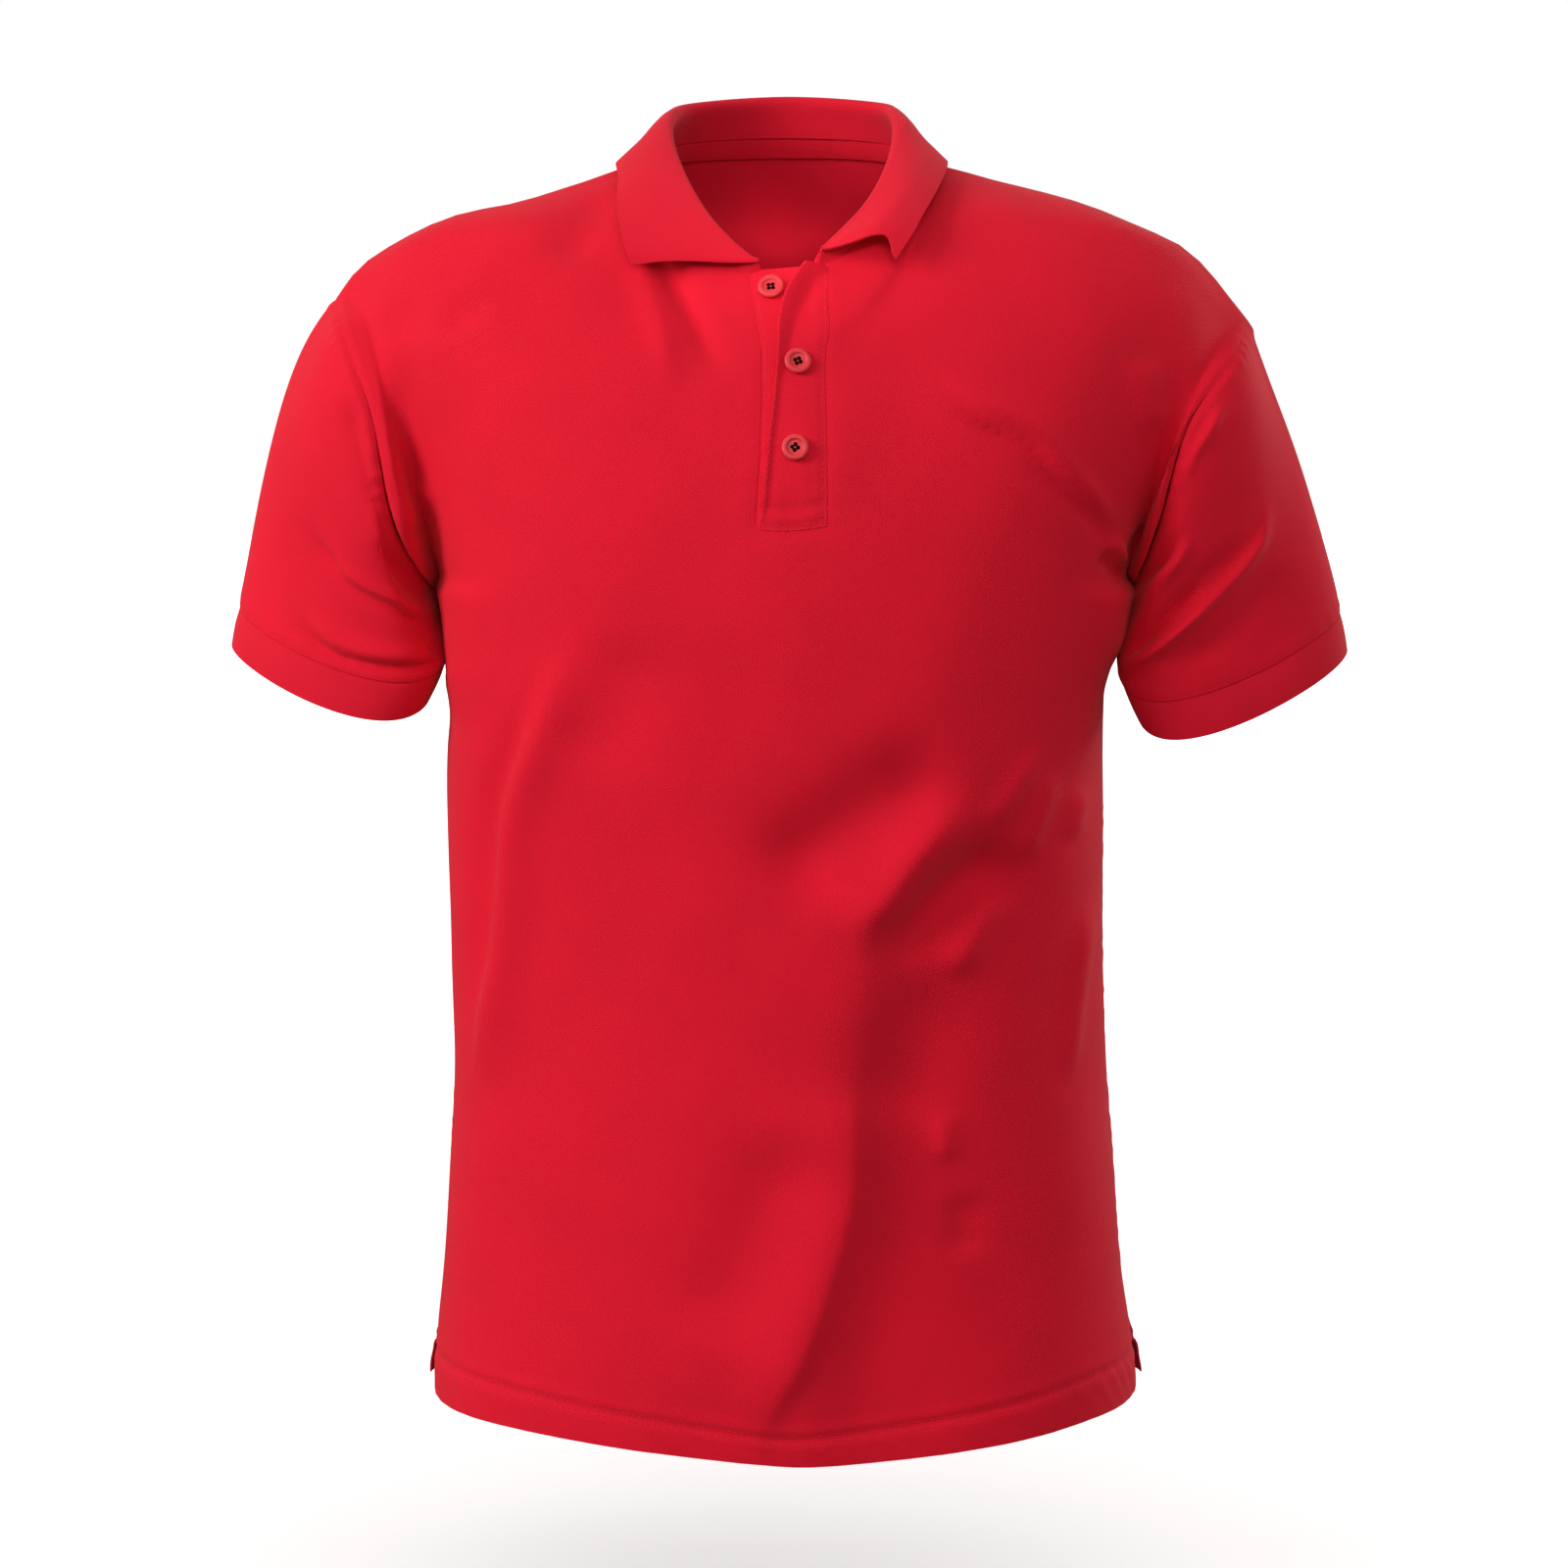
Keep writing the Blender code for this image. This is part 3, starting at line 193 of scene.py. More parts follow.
# Collar stations from the left front end round the back to the right front end: the neck seam, the
# fold line and the leaf's edge, how far the leaf bulges between them, and the radius of the fold's roll
COLLAR_COLUMNS = ("seam", "fold", "edge", "bulge", "roll")
COLLAR = (
    ((-0.0140, -0.0735, -0.0722), (-0.0145, -0.0775, -0.0672), (-0.0800, -0.0790, -0.0700), 0.001, 0.0024),
    ((-0.0255, -0.0725, -0.0735), (-0.0225, -0.0750, -0.0620), (-0.0845, -0.0740, -0.0600), 0.002, 0.0026),
    ((-0.0500, -0.0540, -0.0520), (-0.0430, -0.0570, -0.0400), (-0.0890, -0.0520, -0.0400), 0.003, 0.0034),
    ((-0.0660, -0.0240, -0.0250), (-0.0590, -0.0160, -0.0080), (-0.0900, -0.0220, -0.0220), 0.002, 0.0038),
    ((-0.0730, 0.0140, -0.0085), (-0.0620, 0.0240, 0.0145), (-0.0915, 0.0180, -0.0110), 0.000, 0.0038),
    ((-0.0560, 0.0620, 0.0020), (-0.0490, 0.0600, 0.0235), (-0.0760, 0.0790, -0.0180), 0.001, 0.0038),
    ((0.0000, 0.0850, 0.0060), (0.0000, 0.0820, 0.0285), (0.0000, 0.1040, -0.0170), 0.002, 0.0038),
    ((0.0550, 0.0620, 0.0020), (0.0470, 0.0600, 0.0240), (0.0745, 0.0790, -0.0180), 0.001, 0.0038),
    ((0.0715, 0.0140, -0.0085), (0.0582, 0.0240, 0.0155), (0.0870, 0.0180, -0.0105), 0.000, 0.0038),
    ((0.0650, -0.0240, -0.0240), (0.0560, -0.0160, -0.0080), (0.0850, -0.0220, -0.0205), 0.002, 0.0038),
    ((0.0490, -0.0540, -0.0480), (0.0440, -0.0520, -0.0340), (0.0740, -0.0560, -0.0400), 0.004, 0.0034),
    ((0.0205, -0.0740, -0.0690), (0.0245, -0.0755, -0.0565), (0.0660, -0.0740, -0.0540), 0.006, 0.0026),
    ((0.0160, -0.0748, -0.0688), (0.0190, -0.0790, -0.0612), (0.0575, -0.0840, -0.0670), 0.006, 0.0024),
)
NECK_POINT_STATIONS = {"left": 4, "right": 8}
PLACKET_STATIONS = {"left": 1, "right": 11}
# Places across the collar: the seam, the stand, the quarter turns of the fold, the leaf and its edge
COLLAR_KNOTS = (0.0, 0.10, 0.20, 0.25, 0.30, 0.35, 0.40, 0.70, 1.0)
COLLAR_ACROSS = (0.0, 0.10, 0.20, 0.25, 0.30, 0.35, 0.40, 0.55, 0.70, 0.85, 1.0)
LEAF_START = 0.40           # the leaf's first place, which rests on the cloth

# The collar's front ends are drawn back between the fold and the tip, as (place across, steps along)
END_ARCH = {
    "left": ((0.0, 0.0), (0.40, 0.0), (0.60, 0.10), (0.85, 0.30), (0.95, 0.10), (1.0, 0.0)),
    "right": ((0.0, 0.0), (0.40, 0.0), (0.52, 0.45), (0.64, 0.95), (0.76, 1.45), (0.83, 1.50),
              (0.90, 0.95), (0.95, 0.30), (1.0, 0.0)),
}
ARCH_REACH = 5.0            # steps of the collar over which that fades

# Cuff openings at the lower edge: the ends nearest to and furthest from the body as (x, height), how
# much lower the front edge hangs than the middle, how far front and back dip between the ends, and how
# much nearer the body the front edge lies than the back edge
CUFF = {
    "left": {"inner": (-0.1948, -0.2975), "outer": (-0.3039, -0.2745), "tilt": 0.0135, "dip": 0.010,
             "shift": 0.020},
    "right": {"inner": (0.1938, -0.3025), "outer": (0.3080, -0.2785), "tilt": 0.0175, "dip": 0.012,
              "shift": 0.030},
}
CUFF_MIDDLE = -0.004        # the cuffs' middle, front to back
# From the cuff's edge to its seam, at the ends furthest from and nearest to the body
CUFF_RISE = {"outer": (0.0045, 0.002, 0.0213), "inner": (0.0095, 0.000, 0.0205)}

# The free edge of the upper placket, as (height, x); its top is pulled open
FREE_EDGE = (
    (-0.2090, -0.0165),
    (-0.2000, -0.0140),
    (-0.1900, -0.0122),
    (-0.1800, -0.0113),
    (-0.1628, -0.0097),
    (-0.1425, -0.0072),
    (-0.1207, -0.0050),
    (-0.1020, -0.0042),
    (-0.0920, -0.0020),
    (-0.0853, 0.0008),
    (-0.0777, 0.0055),
    (-0.0660, 0.0165),
)
# Where the lower placket is sewn to the front's left half, as (height, x)
SLIT_EDGE = (
    (-0.230, -0.0168),
    (-0.200, -0.0160),
    (-0.170, -0.0138),
    (-0.140, -0.0128),
    (-0.115, -0.0130),
    (-0.098, -0.0158),
    (-0.070, -0.0205),
)
SLIT_REACH = 0.045          # the cloth's threads bend towards that line within this share of the front

# How far the body swells out under each armpit, and the height where that ends
ARMPIT_BULGE = {"left": (0.0050, -0.316), "right": (0.0095, -0.300)}
ARMPIT_TOP = -0.233         # height where it starts
ARMPIT_START = 0.013        # it comes in over this height, downwards
ARMPIT_END = 0.035          # and dies away over this height and this width
ARMPIT_INNER = 0.14         # none of it nearer to the body's middle than this

# How wide the turned-up hem is across the front, as (place, width)
HEM_BANDS = (
    (0.00, 0.0210),
    (0.15, 0.0220),
    (0.36, 0.0165),
    (0.48, 0.0135),
    (0.62, 0.0165),
    (0.80, 0.0220),
    (1.00, 0.0210),
)
BACK_HEM_BAND = 0.020

# Folds: height along the cloth's outward normal, negative in a trough; half width; lean, from -1 to 1,
# widens the right side of the path's direction and narrows its left; the path as (x, height) points
FRONT_FOLDS = (
    (0.0070, 0.009, -0.4, ((-0.107, -0.256), (-0.126, -0.300), (-0.136, -0.326), (-0.146, -0.358),
     (-0.149, -0.392), (-0.152, -0.425), (-0.159, -0.468), (-0.163, -0.493), (-0.173, -0.521))),
    (-0.0045, 0.009, 0.0, ((-0.123, -0.282), (-0.142, -0.318), (-0.156, -0.358), (-0.160, -0.405),
     (-0.163, -0.446), (-0.167, -0.482))),
    (-0.0035, 0.022, 0.0, ((-0.077, -0.257), (-0.095, -0.310), (-0.120, -0.333))),
    (-0.0110, 0.024, 0.0, ((0.093, -0.325), (0.076, -0.333), (0.047, -0.349), (0.012, -0.377),
     (-0.011, -0.399))),
    (0.0065, 0.013, 0.0, ((0.096, -0.346), (0.086, -0.353), (0.067, -0.373), (0.053, -0.399),
     (0.028, -0.418))),
    (-0.0105, 0.017, 0.0, ((0.119, -0.364), (0.114, -0.373), (0.076, -0.402), (0.040, -0.434))),
    (0.0060, 0.010, 0.0, ((0.111, -0.392), (0.102, -0.408), (0.083, -0.442))),
    (-0.0060, 0.028, 0.0, ((0.088, -0.436), (0.067, -0.462), (0.044, -0.521))),
    (0.0036, 0.006, 0.0, ((0.133, -0.320), (0.115, -0.345), (0.102, -0.363))),
    (0.0036, 0.006, 0.0, ((0.141, -0.333), (0.127, -0.369), (0.118, -0.385))),
    (0.0030, 0.006, 0.0, ((0.158, -0.345), (0.151, -0.373))),
    (0.0038, 0.006, 0.0, ((0.163, -0.402), (0.159, -0.438), (0.155, -0.468), (0.152, -0.507))),
    (0.0048, 0.014, 0.5, ((0.036, -0.470), (0.034, -0.515), (0.034, -0.552), (0.028, -0.580),
     (0.018, -0.612), (0.007, -0.641), (-0.009, -0.667), (-0.022, -0.700))),
    (-0.0055, 0.022, 0.0, ((0.066, -0.450), (0.060, -0.493), (0.056, -0.534), (0.054, -0.568),
     (0.045, -0.599), (0.034, -0.652), (0.020, -0.700))),
    (-0.0030, 0.010, 0.0, ((0.094, -0.555), (0.094, -0.592))),
    (0.0030, 0.006, 0.0, ((0.083, -0.511), (0.083, -0.540))),
    (-0.0055, 0.023, 0.0, ((0.004, -0.515), (-0.004, -0.545), (-0.016, -0.575), (-0.028, -0.605),
     (-0.038, -0.640))),
    (0.0130, 0.060, 0.45, ((0.151, -0.277), (0.106, -0.323), (0.050, -0.389), (0.034, -0.467),
     (0.031, -0.545), (0.019, -0.624), (0.005, -0.690), (-0.002, -0.760))),
    (0.0042, 0.005, 0.0, ((0.079, -0.128), (0.104, -0.144), (0.131, -0.158), (0.143, -0.172),
     (0.157, -0.187), (0.170, -0.201), (0.179, -0.215))),
    (-0.0036, 0.004, 0.0, ((0.079, -0.136), (0.102, -0.151), (0.126, -0.165), (0.137, -0.179),
     (0.151, -0.193), (0.164, -0.208), (0.172, -0.222))),
    (-0.0050, 0.012, 0.0, ((-0.093, -0.025), (-0.108, -0.048), (-0.117, -0.072))),
    (-0.0050, 0.0065, 0.0, ((-0.076, -0.030), (-0.068, -0.052), (-0.0586, -0.0751), (-0.0483, -0.0954),
     (-0.0393, -0.1157), (-0.0330, -0.1320))),
    (0.0030, 0.0070, 0.0, ((-0.088, -0.040), (-0.079, -0.065), (-0.070, -0.090), (-0.062, -0.115),
     (-0.056, -0.138))),
    (-0.0035, 0.012, 0.0, ((-0.197, -0.083), (-0.211, -0.110))),
    (-0.0025, 0.010, 0.0, ((-0.166, -0.085), (-0.173, -0.105))),
    (0.0030, 0.010, 0.0, ((0.189, -0.116), (0.192, -0.139), (0.197, -0.160))),
    (0.0030, 0.006, 0.0, ((-0.183, -0.185), (-0.194, -0.192), (-0.202, -0.202), (-0.205, -0.214))),
    (-0.0048, 0.0045, 0.0, ((0.1640, -0.2210), (0.1730, -0.2280), (0.1810, -0.2350))),
    (0.0040, 0.0040, 0.0, ((0.1690, -0.2120), (0.1760, -0.2200), (0.1820, -0.2290))),
    (-0.0030, 0.0045, 0.0, ((0.1960, -0.2080), (0.1880, -0.2180), (0.1834, -0.2290))),
)
# Folds of the sleeves' front; their ends by the body are hidden behind it
SLEEVE_FOLDS = (
    (-0.0040, 0.008, 0.0, ((-0.235, -0.136), (-0.219, -0.175), (-0.208, -0.205))),
    (-0.0042, 0.0036, 0.4, ((-0.2572, -0.2018), (-0.2514, -0.2158), (-0.2434, -0.2259),
     (-0.2355, -0.2360), (-0.2255, -0.2425), (-0.2135, -0.2481), (-0.1974, -0.2552),
     (-0.1700, -0.2670))),
    (0.0030, 0.0060, 0.0, ((-0.2500, -0.2180), (-0.2420, -0.2290), (-0.2300, -0.2380),
     (-0.2180, -0.2440), (-0.2000, -0.2500), (-0.1650, -0.2620))),
    (-0.0042, 0.0036, 0.4, ((-0.2660, -0.2532), (-0.2581, -0.2623), (-0.2501, -0.2704),
     (-0.2401, -0.2764), (-0.2260, -0.2801), (-0.2098, -0.2825), (-0.1650, -0.2810))),
    (0.0034, 0.0055, 0.0, ((-0.2600, -0.2500), (-0.2510, -0.2600), (-0.2400, -0.2690),
     (-0.2260, -0.2740), (-0.2098, -0.2765), (-0.1650, -0.2760))),
    (-0.0030, 0.0033, 0.3, ((-0.2930, -0.2562), (-0.2804, -0.2663), (-0.2684, -0.2744),
     (-0.2563, -0.2810), (-0.2400, -0.2860))),
    (-0.0036, 0.0042, 0.0, ((-0.2181, -0.2118), (-0.2071, -0.2259), (-0.1930, -0.2340),
     (-0.1750, -0.2420))),
    (-0.0100, 0.0220, 0.0, ((-0.1980, -0.2050), (-0.1880, -0.2300), (-0.1780, -0.2550),
     (-0.1740, -0.2800), (-0.1760, -0.3050))),
    (0.0040, 0.0038, -0.3, ((0.2590, -0.1900), (0.2543, -0.2142), (0.2454, -0.2263), (0.2314, -0.2404),
     (0.2175, -0.2546), (0.2035, -0.2677), (0.1780, -0.2930))),
    (-0.0040, 0.0065, 0.0, ((0.2480, -0.2080), (0.2380, -0.2230), (0.2230, -0.2370), (0.2090, -0.2500),
     (0.1780, -0.2780))),
    (0.0034, 0.0042, 0.0, ((0.2330, -0.1380), (0.2252, -0.1539), (0.2134, -0.1699), (0.2050, -0.1900))),
    (-0.0030, 0.0042, 0.0, ((0.2240, -0.1440), (0.2140, -0.1600), (0.2075, -0.1740),
     (0.2010, -0.1920))),
    (0.0048, 0.0040, 0.0, ((0.2160, -0.2090), (0.2030, -0.2300), (0.1912, -0.2455), (0.1740, -0.2700))),
    (-0.0050, 0.0040, 0.0, ((0.2110, -0.2070), (0.1990, -0.2280), (0.1880, -0.2430),
     (0.1720, -0.2640))),
    (0.0046, 0.0038, 0.0, ((0.2290, -0.2400), (0.2094, -0.2590), (0.1995, -0.2690), (0.1780, -0.2870))),
    (-0.0048, 0.0038, 0.0, ((0.2220, -0.2380), (0.2060, -0.2540), (0.1940, -0.2650),
     (0.1760, -0.2810))),
    (-0.0026, 0.0080, 0.0, ((0.2680, -0.2260), (0.2520, -0.2500), (0.2320, -0.2680),
     (0.1980, -0.2860))),
)
BACK_FOLDS = (
    (-0.0080, 0.018, 0.2, ((-0.150, -0.120), (-0.120, -0.165), (-0.098, -0.230), (-0.090, -0.300))),
    (-0.0072, 0.017, -0.2, ((0.146, -0.125), (0.122, -0.175), (0.104, -0.240), (0.098, -0.290))),
    (0.0072, 0.016, 0.2, ((-0.045, -0.400), (-0.060, -0.470), (-0.066, -0.560), (-0.062, -0.640))),
    (-0.0080, 0.018, 0.0, ((-0.015, -0.360), (-0.026, -0.450), (-0.022, -0.560))),
    (0.0072, 0.015, -0.2, ((0.040, -0.410), (0.052, -0.490), (0.050, -0.590), (0.056, -0.670))),
    (-0.0072, 0.016, 0.1, ((0.092, -0.370), (0.086, -0.460), (0.094, -0.560))),
    (-0.0058, 0.014, 0.0, ((-0.140, -0.330), (-0.120, -0.370), (-0.105, -0.430))),
    (0.0051, 0.012, 0.0, ((-0.160, -0.310), (-0.134, -0.330), (-0.110, -0.372))),
    (0.0058, 0.012, 0.0, ((0.156, -0.305), (0.136, -0.340), (0.122, -0.390))),
    (-0.0058, 0.011, 0.0, ((-0.248, -0.226), (-0.224, -0.240), (-0.200, -0.250))),
    (-0.0058, 0.011, 0.0, ((0.250, -0.220), (0.226, -0.238), (0.202, -0.250))),
    (-0.0051, 0.012, 0.0, ((-0.036, -0.045), (0.000, -0.060), (0.040, -0.046))),
)

FOLD_POINTS = 33            # points along a fold's path
FOLD_REACH = 3.0            # a fold is read this many half widths from its path
FOLD_TAPER = 0.28           # it rises and dies away over this share of its path
FOLD_FACING = 0.05          # it ends where the cloth faces this much the other way

# Steps along each stretch of a panel's top edge, as the solids have them
FRONT_STEPS = (9, 4, 6, 3, 6, 4, 9)
BACK_STEPS = (9, 4, 10, 4, 9)
STEP_SPLIT = 4              # the panels' cloth has this many times as many
SLEEVE_SPLIT = 12           # and the sleeves' cloth this many times as many
SIDE_PLACES = (0.0015, 0.0035, 0.0080)  # further places across a panel, close to its side seams
GUIDE_ROWS = 29             # rows of the panels that the collar is laid on
HEM_ROW_STEP = 0.002        # from one row to the next across the hem
HEM_ROWS = 15
BODY_ROWS = 86
YOKE_ROWS = 76
YOKE_TOP = (0.985, 0.991, 0.9955, 0.9985, 1.0)  # the yoke's last rows
SLEEVE_ROWS = 88            # even rows of a sleeve
SLEEVE_SPAN = (0.03, 0.97)  # where they lie, and the close rows at the cuff's seam and at the armhole
SLEEVE_FOOT = (0.0, 0.006, 0.016)
SLEEVE_HEAD = (0.984, 0.994, 1.0)
CUFF_ROWS = 12              # even rows of a cuff
CUFF_SPAN = (0.10, 0.92)    # where they lie, and the close rows at its edge and inside the sleeve
CUFF_FOOT = (0.0, 0.02, 0.05)
CUFF_HEAD = (0.96, 1.0, 1.05, 1.10)
COLLAR_ROWS = 60
COLLAR_END_STEPS = 2        # steps along the collar from each front end to the placket's edge
SETTLE_ROUNDS = 3           # rounds of lifting the collar's leaf off the cloth
CHEST_LENGTH = 0.50         # length of a panel's chest line
SMOOTH_LENGTH = 0.024       # bends shorter than about six of these are rounded off across the yoke
SMOOTH_RAMP = 0.16          # reached this share of the panel's height below its top edge
RIM_WEIGHT = 1e3            # holds the side seams where they are while the yoke is smoothed
FLAT_ROUNDS = 260           # rounds of pulling a grid of cloth flat
FLAT_STEP = 1.6             # how far each round goes, against half of each thread's error

SEAM_POINTS = 241           # points along a seam
VENT_SHARE = 0.055          # the side seam starts this share of a panel's height over the hem
SEAM_FADE = 0.012           # folds fade out this close to a seam, which is stiffer
PLACKET_DRAW = 0.45         # how strongly the placket's stitches draw the cloth in, against a body seam
WAVES = 14                  # soft random waves in the cloth
WAVE_SEED = 11
WAVE_LENGTHS = (0.045, 0.150)  # the shortest and the longest wave
WAVE_BEND = (0.35, 0.21)    # how far a wave's crest wanders, and over what length
TINY = 1e-6                 # smaller than any gap between two places
YOKE_BLEND = (0.45, 0.1)    # the yoke's smoothing comes in from here, over this share of the height
SLIT_BLEND = (0.5, 0.1)     # and so does the bend of the cloth's threads beside the slit


def linear(code):
    """Linear colour of an sRGB hex code."""
    values = [int(code[place:place + 2], 16) / 255.0 for place in (0, 2, 4)]
    return tuple(v / 12.92 if v <= 0.04045 else ((v + 0.055) / 1.055) ** 2.4 for v in values)


# Curves and surfaces

def unit(vectors):
    """Vectors scaled to length one."""
    sizes = np.linalg.norm(vectors, axis=-1, keepdims=True)
    return vectors / np.maximum(sizes, 1e-12)


def ease(share):
    """Smooth step from 0 to 1."""
    share = np.clip(share, 0.0, 1.0)
    return share * share * (3.0 - 2.0 * share)


def bell(offset, width):
    """Bell curve of height one, down to about a third one width away."""
    return np.exp(-((offset / width) ** 2))


def hermite(start, end, leave, arrive, share):
    """Cubic from start to end with the given end tangents."""
    share = np.asarray(share)[..., None]
    square = share * share
    cube = square * share
    return ((2 * cube - 3 * square + 1) * start + (cube - 2 * square + share) * leave
            + (3 * square - 2 * cube) * end + (cube - square) * arrive)


def through(knots, values, at):
    """Smooth curve through the values at rising knots, read at the places given."""
    knots = np.asarray(knots, float)
    values = np.asarray(values, float).reshape(len(knots), -1)
    at = np.asarray(at, float)
    slopes = np.gradient(values, knots, axis=0)
    cell = np.clip(np.searchsorted(knots, at) - 1, 0, len(knots) - 2)
    span = knots[cell + 1] - knots[cell]
    share = np.clip((at - knots[cell]) / span, 0.0, 1.0)
    return hermite(values[cell], values[cell + 1], slopes[cell] * span[..., None],
                   slopes[cell + 1] * span[..., None], share)


def along(points, share):
    """Smooth curve through points, read at shares of its chord length."""
    points = np.asarray(points, float)
    steps = np.linalg.norm(np.diff(points, axis=0), axis=1)
    knots = np.concatenate([[0.0], np.cumsum(steps)])
    return through(knots / knots[-1], points, share)


def column(table, names, name):
    """One named column of a table."""
    return np.array([row[names.index(name)] for row in table], float)


def torso(height, angle, face):
    """Body surface at a height and an angle: 0 at the left side seam, pi at the right one."""
    sizes = {}
    heights = column(TORSO, TORSO_COLUMNS, "height")
    for name in TORSO_COLUMNS[1:]:
        sizes[name] = through(heights, column(TORSO, TORSO_COLUMNS, name), height)[..., 0]
    power = 2.0 / sizes["square"]
    lean = np.cos(angle)
    half = np.where(lean > 0.0, sizes["left"], sizes["right"])
    x = -np.sign(lean) * half * np.abs(lean) ** power
    y = sizes[face] * np.abs(np.sin(angle)) ** power
    if face == "front":
        y = -y
    return np.stack([x, y, height + 0.0 * x], axis=-1)


def chest_angle(share, face):
    """Angle at a share of the chest line's length."""
    angles = np.linspace(0.0, math.pi, 361)
    line = torso(np.full(angles.shape, CHEST_LINE), angles, face)
    length = np.concatenate([[0.0], np.cumsum(np.linalg.norm(np.diff(line, axis=0), axis=1))])
    return np.interp(share, length / length[-1], angles)


def neck_seam(station):
    """Neck seam at collar stations."""
    return through(np.arange(len(COLLAR)), column(COLLAR, COLLAR_COLUMNS, "seam"), station)


def stretch_curve(face, number, share):
    """A point on one stretch of a panel's top edge, read from the viewer's left to right."""
    armhole = ARMHOLE_FRONT if face == "front" else ARMHOLE_BACK
    last = 6 if face == "front" else 4
    if number == 0:
        return along(armhole["left"], share)
    if number == 1:
        return along(SHOULDER["left"], share)
    if number == last - 1:
        return along(SHOULDER["right"], 1.0 - share)
    if number == last:
        return along(armhole["right"], 1.0 - share)
    left, right = NECK_POINT_STATIONS["left"], NECK_POINT_STATIONS["right"]
    if face == "back":
        return neck_seam(left + (right - left) * share)
    if number == 2:
        return neck_seam(left + (PLACKET_STATIONS["left"] - left) * share)
    if number == 4:
        start = PLACKET_STATIONS["right"]
        return neck_seam(start + (right - start) * share)
    ends = [neck_seam(np.array(float(PLACKET_STATIONS[side]))) for side in ("left", "right")]
    return ends[0] + (ends[1] - ends[0]) * np.asarray(share)[..., None]


def towards_tip(share):
    """Share of an armhole's half from the underarm, slowing down at the shoulder tip."""
    slowed = (3.0 * share - share ** 3) / 2.0
    return share + (slowed - share) * CORNER_EASE


def corner_ease(share):
    """Share of a stretch, slowing down at both corners."""
    return share + (ease(share) - share) * CORNER_EASE


def gather(share, number, last):
    """Slow a stretch down at its corners, so that the cloth below a corner stays smooth."""
    if number == 0:
        return towards_tip(share)
    if number == last:
        return 1.0 - towards_tip(1.0 - share)
    if last == 6 and number == 3:
        return share
    return corner_ease(share)


def top_edge(face, across):
    """Top edge of a panel: armhole, shoulder, neck, and back down the other side."""
    ends = FRONT_ENDS if face == "front" else BACK_ENDS
    across = np.asarray(across, float)
    points = np.zeros(across.shape + (3,))
    for number in range(len(ends) - 1):
        inside = (across >= ends[number]) & (across <= ends[number + 1])
        share = (across - ends[number]) / (ends[number + 1] - ends[number])
        points[inside] = stretch_curve(face, number, gather(share[inside], number, len(ends) - 2))
    return points


ARRIVALS = {
    "front": ((-0.50, 0.00, 0.86), (-0.60, 0.32, 0.74), (-0.62, 0.75, -0.15), (-0.05, 1.00, 0.04),
              (0.04, 0.90, 0.40), (0.12, 0.70, 0.66), (0.05, 0.60, 0.80), (0.00, 0.60, 0.80)),
    "back": ((-0.50, 0.00, 0.86), (-0.60, -0.32, 0.74), (-0.62, -0.75, -0.15), (-0.05, -1.00, 0.04),
             (0.06, -0.95, 0.30), (0.16, -0.75, 0.60), (0.06, -0.55, 0.82), (0.00, -0.50, 0.87)),
}
ARRIVAL_PLACES = {
    "front": (0.0, 0.10, 0.20, 0.27, 0.34, 0.39, 0.455, 0.50),
    "back": (0.0, 0.11, 0.22, 0.295, 0.37, 0.42, 0.47, 0.50),
}
CORNER_EASE = 0.5           # how much a stretch's columns slow down at its corners
YOKE_FULLNESS = 1.12        # how far the yoke's curves bow out, against their chord
LEAVE_STEP = 0.004          # the body's slope at the chest line is taken over this height
VENT_REACH = 0.09           # the vent's edges swing over this share of a panel's width


def arrival(face, across):
    """Direction in which a column of cloth arrives at the top edge."""
    mirrored = across > 0.5
    place = np.where(mirrored, 1.0 - across, across)
    way = unit(through(ARRIVAL_PLACES[face], ARRIVALS[face], place))
    way[..., 0] = np.where(mirrored, -way[..., 0], way[..., 0])
    return way


def hem_height(face, across):
    """Height of the hem's edge."""
    if face == "back":
        return -HEM_DROP - HEM_SAG * np.sin(math.pi * across) ** 2
    places, drops = np.array(FRONT_HEM).T
    return -HEM_DROP - through(places, drops, across)[..., 0]


def panel_surface(face, across, up):
    """Panel surface: across from 0 at the left side seam to 1, up from 0 at the hem to 1 at the top edge.

    Up to one half it is the body, and above that the yoke.
    """
    ends, chest = (FRONT_ENDS, FRONT_CHEST) if face == "front" else (BACK_ENDS, BACK_CHEST)
    share = through(ends, chest, across)[..., 0]
    angle = chest_angle(share, face)
    body_up = np.clip(up * 2.0, 0.0, 1.0)
    height = hem_height(face, across) * (1.0 - body_up) + CHEST_LINE * body_up
    body = torso(height, angle, face)
    start = torso(np.full(across.shape, CHEST_LINE), angle, face)
    leave = unit(start - torso(np.full(across.shape, CHEST_LINE - LEAVE_STEP), angle, face))
    end = top_edge(face, across)
    reach = np.linalg.norm(end - start, axis=-1, keepdims=True) * YOKE_FULLNESS
    yoke_up = np.clip(up * 2.0 - 1.0, 0.0, 1.0)
    yoke = hermite(start, end, leave * reach, arrival(face, across) * reach, yoke_up)
    points = np.where((up > 0.5)[..., None], yoke, body)
    return points + vent_swing(face, across, points)


def vent_swing(face, across, points):
    """Both vent edges swing apart below the side seam's end, the back one a little outwards too."""
    depth = ease((-HEM_DROP + VENT - points[..., 2]) / VENT)
    near = ease(1.0 - np.minimum(across, 1.0 - across) / VENT_REACH)
    way = -1.0 if face == "front" else 1.0
    side = np.where(across < 0.5, -1.0, 1.0)
    swing = np.zeros(points.shape)
    swing[..., 1] = way * VENT_SPREAD
    swing[..., 0] = side * (VENT_SPREAD if face == "back" else -0.2 * VENT_SPREAD)
    return swing * (depth * near)[..., None]


